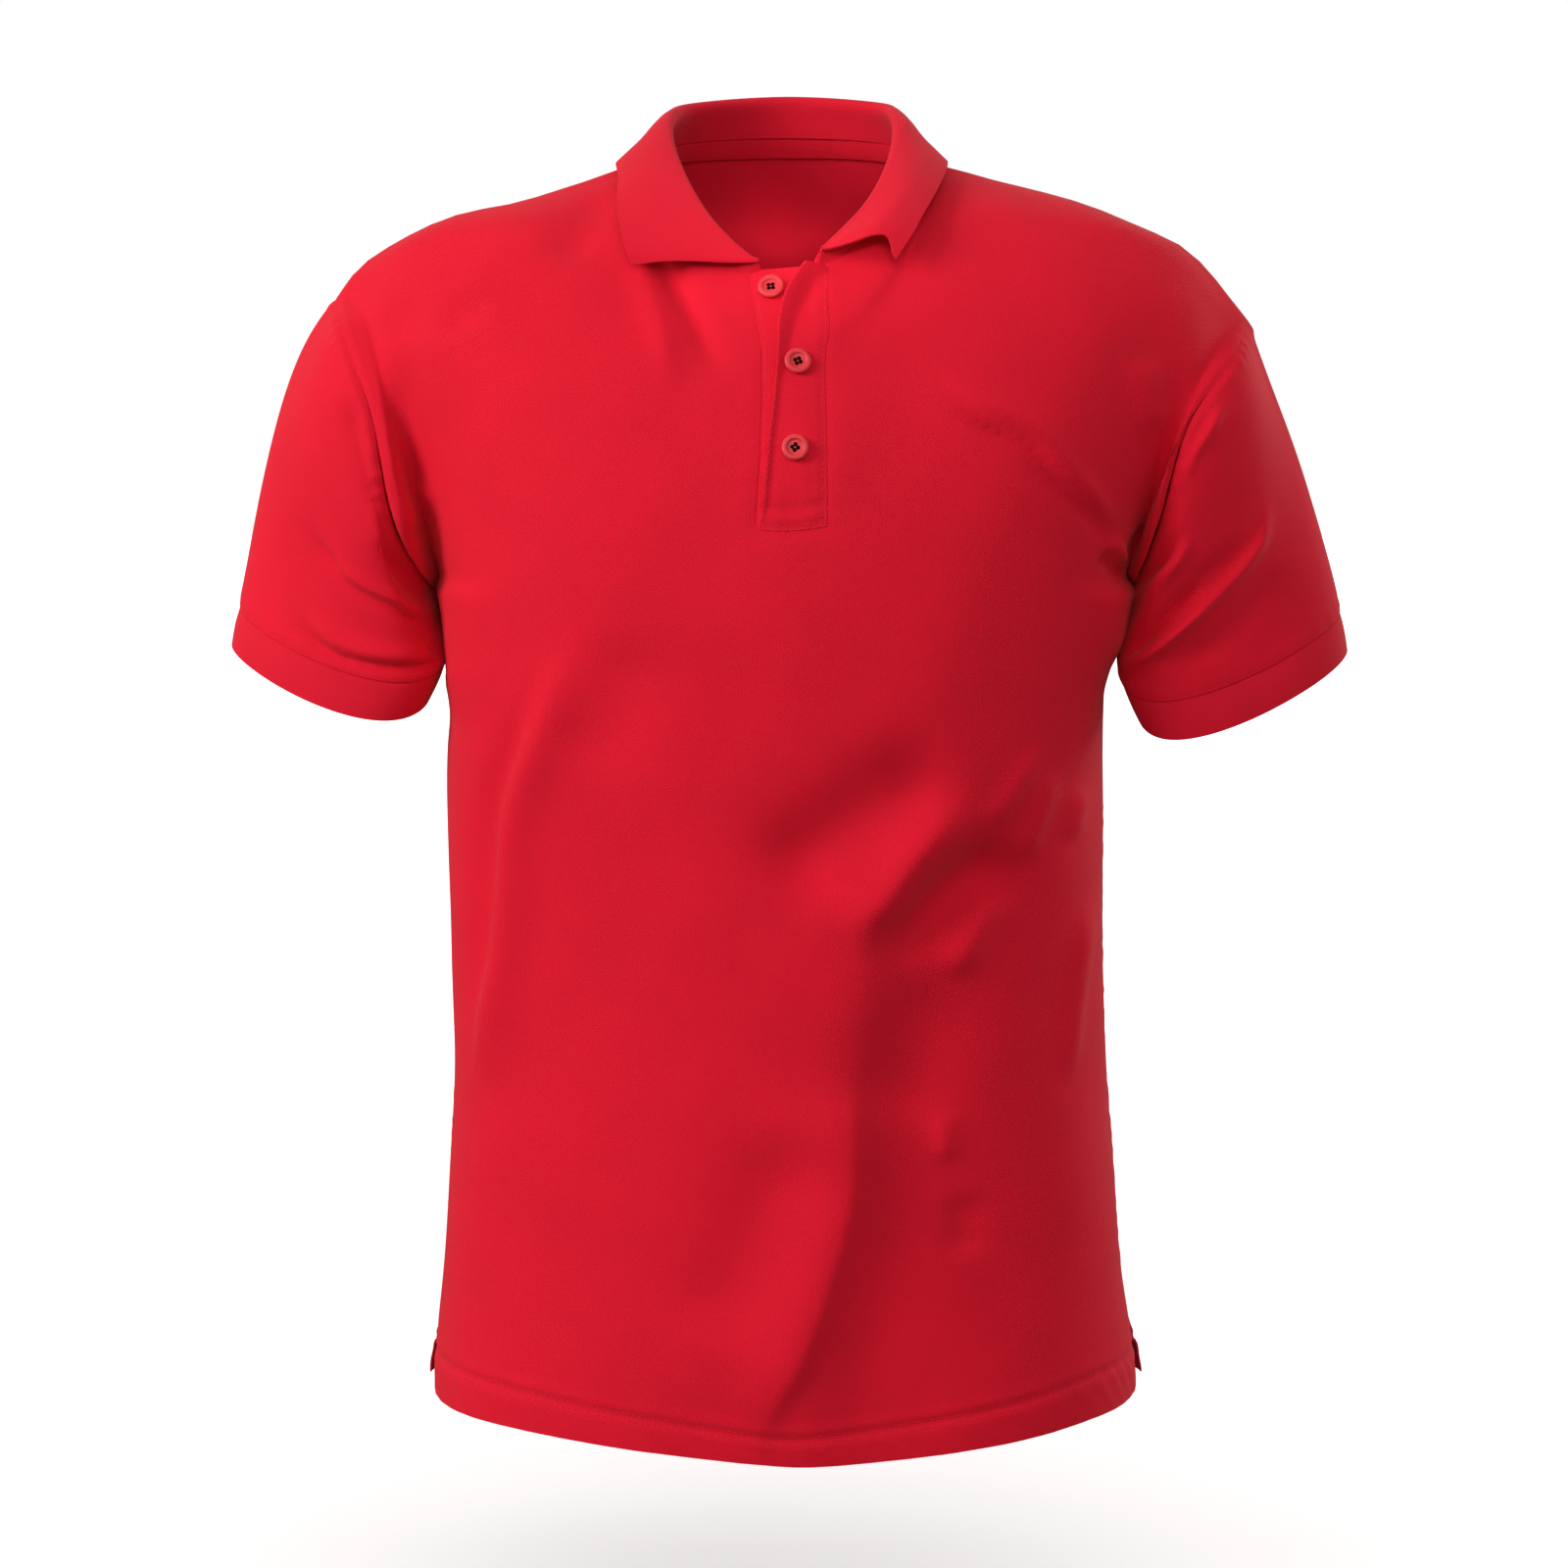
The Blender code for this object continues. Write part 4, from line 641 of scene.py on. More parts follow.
def cuff_ring(side, turn, rise):
    """Ring at the cuff: turn 0 nearest the body, a quarter in front; rise 0 at the edge, 1 at the seam."""
    sizes = CUFF[side]
    inner, outer = (np.array([x, CUFF_MIDDLE, height]) for x, height in (sizes["inner"], sizes["outer"]))
    middle = (inner + outer) / 2
    wave = np.sin(2 * math.pi * turn)
    reach = np.cos(2 * math.pi * turn)[..., None] * (inner - middle)
    towards_body = 1.0 if side == "left" else -1.0
    front = wave[..., None] * np.array([0.0, -CUFF_DEPTH, -sizes["tilt"]])
    front[..., 0] = towards_body * sizes["shift"] * (wave + wave ** 2) / 2
    dip = np.zeros(turn.shape + (3,))
    dip[..., 2] = -sizes["dip"] * wave ** 2
    inward = (0.5 + 0.5 * np.cos(2 * math.pi * turn))[..., None]
    lean = (1.0 - inward) * np.array(CUFF_RISE["outer"]) + inward * np.array(CUFF_RISE["inner"])
    lean[..., 0] *= towards_body
    return middle + reach + front + dip + lean * np.asarray(rise)[..., None]


SLEEVE_LEAVES = {
    "left": ((-0.46, 0.00, -0.89), (-0.50, -0.28, -0.80), (-0.68, 0.00, -0.74), (-0.50, 0.28, -0.80),
             (-0.46, 0.00, -0.89)),
    "right": ((0.28, 0.00, -0.96), (0.50, -0.28, -0.80), (0.38, 0.00, -0.92), (0.50, 0.28, -0.80),
              (0.28, 0.00, -0.96)),
}
SLEEVE_ARRIVES = ((-0.40, -0.03, -0.92), (-0.29, -0.06, -0.95), (-0.21, -0.06, -0.97), (-0.29, -0.02, -0.95),
                  (-0.40, -0.03, -0.92))
TURN_PLACES = (0.0, 0.25, 0.50, 0.75, 1.0)
SLEEVE_EASE = 0.85          # how far the sleeve's curves bow out, against their chord


def armhole_ring(side, turn):
    """Armhole seam: turn 0 at the underarm, one half at the shoulder tip, over the front first."""
    front = along(ARMHOLE_FRONT[side], towards_tip(np.clip(turn * 2.0, 0.0, 1.0)))
    back = along(ARMHOLE_BACK[side], towards_tip(np.clip(2.0 - turn * 2.0, 0.0, 1.0)))
    return np.where((turn <= 0.5)[..., None], front, back)


def sleeve_surface(side, turn, down):
    """Sleeve surface from the armhole to the cuff seam."""
    mirror = np.array([1.0 if side == "left" else -1.0, 1.0, 1.0])
    start = armhole_ring(side, turn)
    end = cuff_ring(side, turn, np.ones(turn.shape))
    reach = np.linalg.norm(end - start, axis=-1, keepdims=True)
    leave = unit(through(TURN_PLACES, SLEEVE_LEAVES[side], turn)) * reach * SLEEVE_EASE
    arrive = unit(through(TURN_PLACES, SLEEVE_ARRIVES, turn)) * mirror * reach * SLEEVE_EASE
    return hermite(start, end, leave, arrive, down)


def grid_normals(points, closed=False):
    """Outward unit normals of a grid: rows upwards, columns from left to right as seen from outside."""
    rise = points[1:, 1:] - points[:-1, :-1]
    cross = points[:-1, 1:] - points[1:, :-1]
    faces = unit(np.cross(cross, rise))
    total = np.zeros(points.shape)
    for row in (0, 1):
        for side in (0, 1):
            total[row:points.shape[0] - 1 + row, side:points.shape[1] - 1 + side] += faces
    if closed:
        rim = total[:, 0] + total[:, -1]
        total[:, 0] = rim
        total[:, -1] = rim
    return unit(total)


def steps_to_places(ends, steps):
    """Places across a panel with the given number of steps in each stretch."""
    places = [0.0]
    for number, count in enumerate(steps):
        places.extend(np.linspace(ends[number], ends[number + 1], count + 1)[1:])
    return np.array(places)


def across_line(vectors, line):
    """Unit directions of vectors, less the part that runs along a line."""
    return unit(vectors - np.sum(vectors * line, axis=-1, keepdims=True) * line)


# Folds, waves and seams

def fold_relief(points, normals, front_folds):
    """Height of the folds at surface points, from the tables of front and back folds."""
    flat = points[..., (0, 2)].reshape(-1, 2)
    relief = np.zeros(len(flat))
    for folds, facing in ((front_folds, -normals[..., 1]), (BACK_FOLDS, normals[..., 1])):
        weight = ease((facing.ravel() + FOLD_FACING) / 0.5)
        for height, width, lean, path in folds:
            line = along(path, np.linspace(0.0, 1.0, FOLD_POINTS))
            reach = FOLD_REACH * width
            low, high = line.min(axis=0) - reach, line.max(axis=0) + reach
            near = np.flatnonzero(np.all((flat > low) & (flat < high), axis=1) & (weight > 0.0))
            if len(near) == 0:
                continue
            starts, steps = line[:-1], np.diff(line, axis=0)
            offset = flat[near, None, :] - starts
            share = np.clip(np.sum(offset * steps, axis=-1) / np.sum(steps * steps, axis=-1), 0.0, 1.0)
            gaps = offset - share[..., None] * steps
            size = np.linalg.norm(gaps, axis=-1)
            best = np.argmin(size, axis=1)
            pick = np.arange(len(near))
            side = np.sign(steps[best, 0] * gaps[pick, best, 1] - steps[best, 1] * gaps[pick, best, 0])
            place = (best + share[pick, best]) / len(starts)
            taper = ease(place / FOLD_TAPER) * ease((1.0 - place) / FOLD_TAPER)
            spread = width * (1.0 - lean * side)
            relief[near] += height * weight[near] * taper * bell(size[pick, best], spread)
    return relief.reshape(points.shape[:-1])


@functools.lru_cache(maxsize=1)
def wave_table():
    """Directions, lengths and phases of the soft waves, the same on every run."""
    draw = np.random.default_rng(WAVE_SEED)
    ways = unit(draw.normal(size=(WAVES, 3)) * (1.0, 1.0, 0.6))
    lengths = draw.uniform(*WAVE_LENGTHS, WAVES)
    phases = draw.uniform(0.0, 2 * math.pi, WAVES)
    return ways, lengths, phases


def wave_relief(points, height):
    """Soft random unevenness of worn cloth."""
    ways, lengths, phases = wave_table()
    total = np.zeros(points.shape[:-1])
    wander, wander_length = WAVE_BEND
    for way, length, phase in zip(ways, lengths, phases):
        bend = wander * np.sin(points @ way[[1, 2, 0]] * 2 * math.pi / wander_length + phase)
        swing = np.sin(points @ way * 2 * math.pi / length + phase + bend)
        total += swing * (length / WAVE_LENGTHS[1])
    return total * height / math.sqrt(WAVES)


@functools.lru_cache(maxsize=1)
def seam_tree():
    """Search tree of points along every seam, with the length along the seam and how strongly it draws."""
    share = np.linspace(0.0, 1.0, SEAM_POINTS)
    lines = []
    for side in ("left", "right"):
        lines.append((armhole_ring(side, share), 1.0))
        lines.append((along(SHOULDER[side], share), 0.8))
        lines.append((cuff_ring(side, share, np.ones(share.shape)), 0.5))
        rim = np.full(share.shape, 0.0 if side == "left" else 1.0)
        side_seam = VENT_SHARE + (1.0 - VENT_SHARE) * share
        lines.append((panel_surface("front", rim, side_seam), 1.0))
        lines.append((sleeve_surface(side, np.zeros(share.shape), share), 1.0))
    foot = up_at(PLACKET_BOTTOM)
    rise = foot + (1.0 - foot) * share
    for edge in (line_places(SLIT_EDGE, rise), np.full(rise.shape, SLIT_RIGHT)):
        lines.append((base_points(edge, rise), PLACKET_DRAW))
    for height in BOX_LINES:
        rise = np.full(share.shape, up_at(height))
        corner = line_places(SLIT_EDGE, rise[:1])[0]
        lines.append((base_points(corner + (SLIT_RIGHT - corner) * share, rise), PLACKET_DRAW))
    tree = kdtree.KDTree(sum(len(line) for line, _ in lines))
    lengths, draws = [], []
    for line, draw in lines:
        steps = np.linalg.norm(np.diff(line, axis=0), axis=1)
        for point, length in zip(line, np.concatenate([[0.0], np.cumsum(steps)])):
            tree.insert(point, len(lengths))
            lengths.append(length)
            draws.append(draw)
    tree.balance()
    return tree, np.array(lengths), np.array(draws)


def seam_relief(points, depth, pucker):
    """Relief of the seams at surface points, and how far the cloth's folds may show there."""
    tree, lengths, draws = seam_tree()
    found = [tree.find(Vector(point)) for point in points.reshape(-1, 3)]
    gap = np.array([entry[2] for entry in found])
    nearest = [entry[1] for entry in found]
    length, draw = lengths[nearest], draws[nearest]
    # A groove on the seam with a low ridge on each side of it
    groove = -depth * bell(gap, 0.0018) + 0.4 * depth * bell(gap - 0.0045, 0.002)
    # Gathers about 11 mm apart, unevenly spaced and higher in some places
    beat = np.sin(length * 2 * math.pi / 0.0115 + 1.7 * np.sin(length * 2 * math.pi / 0.047))
    swell = 0.6 + 0.4 * np.sin(length * 2 * math.pi / 0.083)
    groove += pucker * beat * swell * bell(gap - 0.004, 0.0055)
    shape = points.shape[:-1]
    return (groove * draw).reshape(shape), ease(gap / SEAM_FADE).reshape(shape)


def hem_band(face, across):
    """Width of the turned-up hem."""
    if face == "back":
        return np.full(np.shape(across), BACK_HEM_BAND)
    places, widths = np.array(HEM_BANDS).T
    return through(places, widths, across)[..., 0]


def hem_relief(face, across, above):
    """Doubled hem standing proud, with a trough at its stitches and slight slanted puckers."""
    band = hem_band(face, across)
    over = above - band
    level = 0.0009 * (1.0 - ease((over + 0.0015) / 0.003))
    trough = -0.0010 * bell(over, 0.0022)
    roll = 0.0005 * bell(over - 0.0045, 0.003)
    # Puckers 17 mm apart, slanting up the band, on places turned into metres by the panel's width
    run = across * 0.52 + above * 0.9
    slant = np.sin(run * 2 * math.pi / 0.017 + 2.0 * np.sin(across * 23.0))
    pucker = 0.00028 * slant * bell(above - band * 0.6, band * 0.6)
    return level + trough + roll + pucker


# Laying the surfaces out

def split_places(places, count):
    """Places with each gap split evenly."""
    places = np.asarray(places)
    inner = [np.linspace(start, end, count + 1)[:-1] for start, end in zip(places, places[1:])]
    return np.concatenate(inner + [places[-1:]])


def panel_places(face):
    """Places across a panel, closer together at its side seams."""
    ends, steps = (FRONT_ENDS, FRONT_STEPS) if face == "front" else (BACK_ENDS, BACK_STEPS)
    places = split_places(steps_to_places(ends, steps), STEP_SPLIT)
    close = np.array(SIDE_PLACES)
    return np.unique(np.concatenate([places, close, 1.0 - close]))


def row_places():
    """Places up a panel, with close rows at the hem's stitches and at the top edge."""
    hem = np.arange(HEM_ROWS) * HEM_ROW_STEP / SIDE_LENGTH * 0.5
    body = np.linspace(hem[-1], 0.5, BODY_ROWS)[1:]
    yoke = np.concatenate([np.linspace(0.0, YOKE_TOP[0], YOKE_ROWS)[1:], YOKE_TOP[1:]])
    return np.concatenate([hem, body, 0.5 + 0.5 * yoke])


def tube_turns():
    """Places round a sleeve, its halves split as the armhole of the front and of the back is."""
    front = np.linspace(0.0, 0.5, FRONT_STEPS[0] * SLEEVE_SPLIT + 1)
    return np.concatenate([front, np.linspace(0.5, 1.0, BACK_STEPS[0] * SLEEVE_SPLIT + 1)[1:]])


def smooth_yoke(face, points, columns, rows):
    """Round off the bends that the seam corners leave across the yoke, less near its seams."""
    ends, chest = (FRONT_ENDS, FRONT_CHEST) if face == "front" else (BACK_ENDS, BACK_CHEST)
    spots = through(ends, chest, columns)[:, 0] * CHEST_LENGTH
    steps = np.diff(spots)
    count = len(spots)
    bend = np.zeros((count - 2, count))
    inner = np.arange(count - 2)
    bend[inner, inner] = 1.0 / steps[:-1]
    bend[inner, inner + 1] = -1.0 / steps[:-1] - 1.0 / steps[1:]
    bend[inner, inner + 2] = 1.0 / steps[1:]
    spans = (steps[:-1] + steps[1:]) / 2
    stiffness = bend.T @ (bend / spans[:, None])
    weight = np.concatenate([[steps[0] / 2], spans, [steps[-1] / 2]])
    weight[[0, -1]] = RIM_WEIGHT
    for row, place in enumerate(rows):
        blend = ease((place - YOKE_BLEND[0]) / YOKE_BLEND[1])
        reach = SMOOTH_LENGTH * ease((1.0 - place) / SMOOTH_RAMP) * blend
        if reach > 0.0:
            held = np.diag(weight) + stiffness * reach ** 4
            points[row] = np.linalg.solve(held, points[row] * weight[:, None])
    return points


def armpit_bulge(points):
    """The body swells a little just under each armpit, where it is pressed against the sleeve."""
    width, height = points[..., 0], points[..., 2]
    near = ease((np.abs(width) - ARMPIT_INNER) / ARMPIT_END)
    for side, (reach, foot) in ((-1.0, ARMPIT_BULGE["left"]), (1.0, ARMPIT_BULGE["right"])):
        level = ease((ARMPIT_TOP - height) / ARMPIT_START) * ease((height - foot) / ARMPIT_END)
        points[..., 0] += side * reach * near * level * (width * side > 0.0)
    return points


@functools.lru_cache(maxsize=2)
def base(face):
    """A panel's surface before its folds, and its places up and across."""
    rows, columns = row_places(), panel_places(face)
    across, up = np.meshgrid(columns, rows)
    points = smooth_yoke(face, panel_surface(face, across, up), columns, rows)
    return armpit_bulge(points), rows, columns


def base_lines(up):
    """The front's surface before its folds, as lines across it at places up."""
    points, rows, columns = base("front")
    return through(rows, points.reshape(len(rows), -1), up).reshape(len(up), len(columns), 3)


def base_points(across, up):
    """Points of the front's surface before its folds."""
    _, _, columns = base("front")
    return np.stack([through(columns, line, [place])[0] for line, place in zip(base_lines(up), across)])


def up_at(height):
    """Place up the front's middle at a height."""
    points, rows, columns = base("front")
    middle = points[:, int(np.argmin(np.abs(columns - 0.5))), 2]
    return float(np.interp(height, middle, rows))


def line_places(line, up):
    """Places across the front of a line given as (height, x), at places up the front."""
    heights, spots = np.array(line).T
    _, _, columns = base("front")
    near = np.abs(columns - (SLIT_LEFT + SLIT_RIGHT) / 2) < 2.0 * SLIT_REACH
    return np.array([np.interp(0.0, row[near, 0] - np.interp(row[near, 2], heights, spots), columns[near])
                     for row in base_lines(up)])


def bend_threads(columns, up):
    """Places across the front, drawn over so that the slit's left edge follows its seam."""
    blend = ease((up - SLIT_BLEND[0]) / SLIT_BLEND[1])
    shift = (line_places(SLIT_EDGE, up) - SLIT_LEFT) * blend
    return columns + shift[:, None] * ease(1.0 - np.abs(columns - SLIT_LEFT) / SLIT_REACH)


def worn(points, closed, sizes, hem=0.0):
    """A surface with its folds, waves, seams and hem, and its normals; a closed one is a sleeve."""
    normals = grid_normals(points, closed)
    groove, free = seam_relief(points, sizes.seam_depth, sizes.pucker)
    folds = fold_relief(points, normals, SLEEVE_FOLDS if closed else FRONT_FOLDS)
    relief = (folds + wave_relief(points, sizes.wave_height)) * free + groove + hem
    points = points + normals * relief[..., None]
    return points, grid_normals(points, closed)


def dressed(face, points, across, up, sizes):
    """A panel's surface with its hem, folds and seams, its columns from left to right seen from outside."""
    hem = hem_relief(face, across, up * 2.0 * SIDE_LENGTH)
    if face == "back":
        points, hem = points[:, ::-1], hem[:, ::-1]
    return worn(points, False, sizes, hem)


def flat_pattern(points):
    """Lay a grid of cloth out flat: places on the cloth in metres that keep its threads' lengths."""
    rows, columns = points.shape[:2]
    wide = np.linalg.norm(np.diff(points, axis=1), axis=-1)
    tall = np.linalg.norm(np.diff(points, axis=0), axis=-1)
    u = np.concatenate([np.zeros((rows, 1)), np.cumsum(wide, axis=1)], axis=1)
    middle = columns // 2
    u -= u[:, middle:middle + 1]
    v = np.concatenate([np.zeros((1, columns)), np.cumsum(tall, axis=0)], axis=0)
    flat = np.stack([u, v], axis=-1)
    pairs = []
    for down, side in ((0, 1), (1, 0), (1, 1), (1, -1)):
        first = (slice(0, rows - down), slice(max(0, -side), columns - max(0, side)))
        second = (slice(down, rows), slice(max(0, side), columns + min(0, side)))
        pairs.append((first, second, np.linalg.norm(points[second] - points[first], axis=-1)))
    for _ in range(FLAT_ROUNDS):
        push = np.zeros(flat.shape)
        count = np.zeros((rows, columns, 1))
        for first, second, rest in pairs:
            gap = flat[second] - flat[first]
            size = np.linalg.norm(gap, axis=-1)
            pull = gap * ((size - rest) / np.maximum(size, 1e-9))[..., None] * 0.5
            push[first] += pull
            push[second] -= pull
            count[first] += 1.0
            count[second] += 1.0
        flat += push / count * FLAT_STEP
    return flat


def read_grid(grid, knots, at):
    """A coarse grid read at finer places, up its rows and then along them."""
    rows, columns = grid.shape[:2]
    tall = through(knots[0], grid.reshape(rows, -1), at[0]).reshape(len(at[0]), columns, -1)
    wide = through(knots[1], tall.transpose(1, 0, 2).reshape(columns, -1), at[1])
    return wide.reshape(len(at[1]), len(at[0]), -1).transpose(1, 0, 2)


def guide(places, count):
    """Every so many of a list of places, with its last one."""
    chosen = places[::count]
    return chosen if chosen[-1] == places[-1] else np.append(chosen, places[-1])


def lay_flat(points, rows, columns, count=6):
    """Cloth places of a fine grid, from a coarser one laid flat."""
    few_rows, few_columns = guide(rows, count), guide(columns, count)
    row_numbers = np.searchsorted(rows, few_rows)
    column_numbers = np.searchsorted(columns, few_columns)
    coarse = points[np.ix_(row_numbers, column_numbers)]
    return read_grid(flat_pattern(coarse), (few_rows, few_columns), (rows, columns))


# Meshes

CLOTH_SHARP = 60.0          # edges of the cloth are sharp over this angle, in degrees
BUTTON_SHARP = 40.0


def add_object(name, data):
    """Link an object, in the place of one that an earlier run left under its name."""
    old = bpy.data.objects.get(name)
    if old is not None:
        bpy.data.objects.remove(old, do_unlink=True)
    item = bpy.data.objects.new(name, data)
    bpy.context.scene.collection.objects.link(item)
    return item


def finished_mesh(name, shape, sharp=None, smooth=True):
    """Turn a shape into a mesh, with sharp edges over an angle in degrees if one is given."""
    mesh = bpy.data.meshes.new(name)
    shape.to_mesh(mesh)
    shape.free()
    if smooth:
        mesh.shade_smooth()
    if sharp is not None:
        mesh.set_sharp_from_angle(angle=math.radians(sharp))
    return mesh


def add_piece(name, mesh, look, stands_for=()):
    """Link a mesh as one piece of the shirt."""
    piece = add_object(name, mesh)
    piece.data.materials.append(look)
    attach(piece, "root")
    if stands_for:
        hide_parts(*stands_for)
    return piece


def cloth_mesh(name, outer, normals, wall, flat, closed=False, hole=None):
    """Closed thin wall under a grid of points, with the cloth's own places as its UV map."""
    rows, columns = outer.shape[:2]
    inner = outer - normals * wall
    shape = bmesh.new()
    bmesh.ops.create_grid(shape, x_segments=columns - 1, y_segments=rows - 1, size=1.0)
    shape.verts.ensure_lookup_table()
    place = shape.verts.layers.int.new("place")
    spots = shape.loops.layers.uv.new("cloth")
    for number, corner in enumerate(shape.verts):
        corner[place] = number
        corner.co = outer[number // columns, number % columns]
    flat_list = flat.reshape(-1, 2).tolist()
    lost = []
    for face in shape.faces:
        for loop in face.loops:
            loop[spots].uv = flat_list[loop.vert[place]]
        if hole:
            number = min(corner[place] for corner in face.verts)
            if number // columns in hole[0] and number % columns in hole[1]:
                lost.append(face)
    if lost:
        bmesh.ops.delete(shape, geom=lost, context="FACES")
    if closed:
        bmesh.ops.remove_doubles(shape, verts=shape.verts, dist=1e-7)
    layer = bmesh.ops.extrude_face_region(shape, geom=shape.faces[:], use_keep_orig=True)
    for corner in layer["geom"]:
        if isinstance(corner, bmesh.types.BMVert):
            number = corner[place]
            corner.co = inner[number // columns, number % columns]
    bmesh.ops.recalc_face_normals(shape, faces=shape.faces)
    return finished_mesh(name, shape, CLOTH_SHARP)


# Materials

def add_node(tree, kind, settings=None, links=None):
    """Add a node, set its properties, and set its inputs or link them; a node stands for its first output."""
    node = tree.nodes.new(kind)
    for name, value in (settings or {}).items():
        setattr(node, name, value)
    for socket, value in (links or {}).items():
        if isinstance(value, bpy.types.Node):
            value = value.outputs[0]
        if isinstance(value, bpy.types.NodeSocket):
            tree.links.new(value, node.inputs[socket])
        else:
            node.inputs[socket].default_value = value
    return node


def empty_tree(owner):
    """The node tree of a material or of the world, cleared."""
    owner.use_nodes = True
    owner.node_tree.nodes.clear()
    return owner.node_tree


def cloth_material(name, colours, pitch, ribs, roughness, sheen, bump):
    """Cotton knit: two near shades mottled as dyed yarn is, loops raised by a bump, a soft pile sheen."""
    look = bpy.data.materials.get(name) or bpy.data.materials.new(name)
    tree = empty_tree(look)
    place = add_node(tree, "ShaderNodeUVMap", {"uv_map": "cloth"})
    parts = add_node(tree, "ShaderNodeSeparateXYZ", links={0: place})
    along_cloth, up_cloth = parts.outputs[0], parts.outputs[1]
    # A rib knit's loops follow the cloth's threads, and a pique's diamonds cross them at a slant
    waves = []
    for straight, slanted, size in ((along_cloth, "ADD", pitch[0]), (up_cloth, "SUBTRACT", pitch[1])):
        source = straight
        if not ribs:
            source = add_node(tree, "ShaderNodeMath", {"operation": slanted}, {0: along_cloth, 1: up_cloth})
        turn = add_node(tree, "ShaderNodeMath", {"operation": "MULTIPLY"}, {0: source, 1: 2 * math.pi / size})
        wave = add_node(tree, "ShaderNodeMath", {"operation": "SINE"}, {0: turn})
        waves.append(add_node(tree, "ShaderNodeMath", {"operation": "MULTIPLY_ADD"},
                              {0: wave, 1: 0.5, 2: 0.5}))
    weave = add_node(tree, "ShaderNodeMath", {"operation": "MULTIPLY"}, {0: waves[0], 1: waves[1]})
    # Fine mottling of about 2 mm, and clouds of about 5 cm
    spot = add_node(tree, "ShaderNodeTexCoord").outputs["Object"]
    mottle = add_node(tree, "ShaderNodeTexNoise", links={
        "Vector": spot, "Scale": 420.0, "Detail": 3.0, "Roughness": 0.6})
    cloud = add_node(tree, "ShaderNodeTexNoise", links={"Vector": spot, "Scale": 22.0, "Detail": 2.0})
    blend = add_node(tree, "ShaderNodeMath", {"operation": "MULTIPLY_ADD"}, {0: mottle, 1: 0.7, 2: weave})
    shade = add_node(tree, "ShaderNodeMapRange", links={"Value": blend, "From Min": 0.15, "From Max": 1.15})
    light, dark = ((*linear(code), 1.0) for code in colours)
    tone = add_node(tree, "ShaderNodeMix", {"data_type": "RGBA"}, {0: shade, 6: dark, 7: light})
    drift = add_node(tree, "ShaderNodeMapRange", links={
        "Value": cloud, "From Min": 0.3, "From Max": 0.7, "To Min": 0.96, "To Max": 1.04})
    final = add_node(tree, "ShaderNodeVectorMath", {"operation": "SCALE"},
                     {0: tone.outputs[2], "Scale": drift})
    fuzz = add_node(tree, "ShaderNodeMath", {"operation": "MULTIPLY_ADD"}, {0: mottle, 1: 0.5, 2: weave})
    raised = add_node(tree, "ShaderNodeBump", links={"Strength": bump, "Distance": 0.0004, "Height": fuzz})
    shader = add_node(tree, "ShaderNodeBsdfPrincipled", links={
        "Base Color": final, "Roughness": roughness, "IOR": 1.5, "Specular IOR Level": 0.2,
        "Sheen Weight": sheen, "Sheen Roughness": 0.45, "Sheen Tint": (1.0, 0.42, 0.40, 1.0),
        "Normal": raised})
    add_node(tree, "ShaderNodeOutputMaterial", links={0: shader})
    return look


def pique_cotton():
    """Combed cotton pique, piece-dyed: matt, with small raised diamonds and a faint bloom when grazed."""
    # The diamonds are 1.2 mm in such a cloth; they are drawn 1.7 mm wide so that they still show
    return cloth_material("pique_cotton", ("e00d2b", "d50a26"), pitch=(0.0017, 0.0017), ribs=False,
                          roughness=0.86, sheen=0.10, bump=0.25)


def flat_knit():
    """Flat-bed rib knit of the collar and cuffs: denser than the pique, with fine wales and courses."""
    return cloth_material("flat_knit_cotton", ("d80f2a", "cf0d28"), pitch=(0.0009, 0.0020), ribs=True,
                          roughness=0.88, sheen=0.14, bump=0.12)


def plain_material(name, code, roughness, specular, coat=0.0, grain=0.0):
    """A solid-coloured material with faint unevenness in its gloss."""
    look = bpy.data.materials.get(name) or bpy.data.materials.new(name)
    tree = empty_tree(look)
    spot = add_node(tree, "ShaderNodeTexCoord").outputs["Object"]
    specks = add_node(tree, "ShaderNodeTexNoise", links={"Vector": spot, "Scale": 900.0, "Detail": 2.0})
    gloss = add_node(tree, "ShaderNodeMapRange", links={
        "Value": specks, "To Min": roughness - 0.06, "To Max": roughness + 0.06})
    colour = linear(code)
    tone = add_node(tree, "ShaderNodeMix", {"data_type": "RGBA"}, {
        0: specks, 6: (*colour, 1.0), 7: (*[value * 0.9 for value in colour], 1.0)})
    raised = add_node(tree, "ShaderNodeBump", links={
        "Strength": grain, "Distance": 0.0001, "Height": specks})
    shader = add_node(tree, "ShaderNodeBsdfPrincipled", links={
        "Base Color": tone.outputs[2], "Roughness": gloss, "IOR": 1.52, "Specular IOR Level": specular,
        "Coat Weight": coat, "Coat Roughness": 0.15, "Normal": raised})
    add_node(tree, "ShaderNodeOutputMaterial", links={0: shader})
    return look


def polyester_thread():
    """Spun polyester sewing thread: a shade lighter than the cloth, with a slight lustre."""
    return plain_material("polyester_thread", "dc1830", roughness=0.6, specular=0.35, grain=0.3)


def moulded_polyester():
    """Cast polyester button, dyed through and tumbled: smooth and softly glossy."""
    return plain_material("moulded_polyester", "e0323c", roughness=0.45, specular=0.35, coat=0.05,
                          grain=0.05)


def hole_shade_thread():
    """Spun polyester thread in the buttons' holes, near black so that it also paints the shade inside the
    holes and the dished middle; matt.
    """
    return plain_material("button_thread", "160306", roughness=0.9, specular=0.05, grain=0.3)


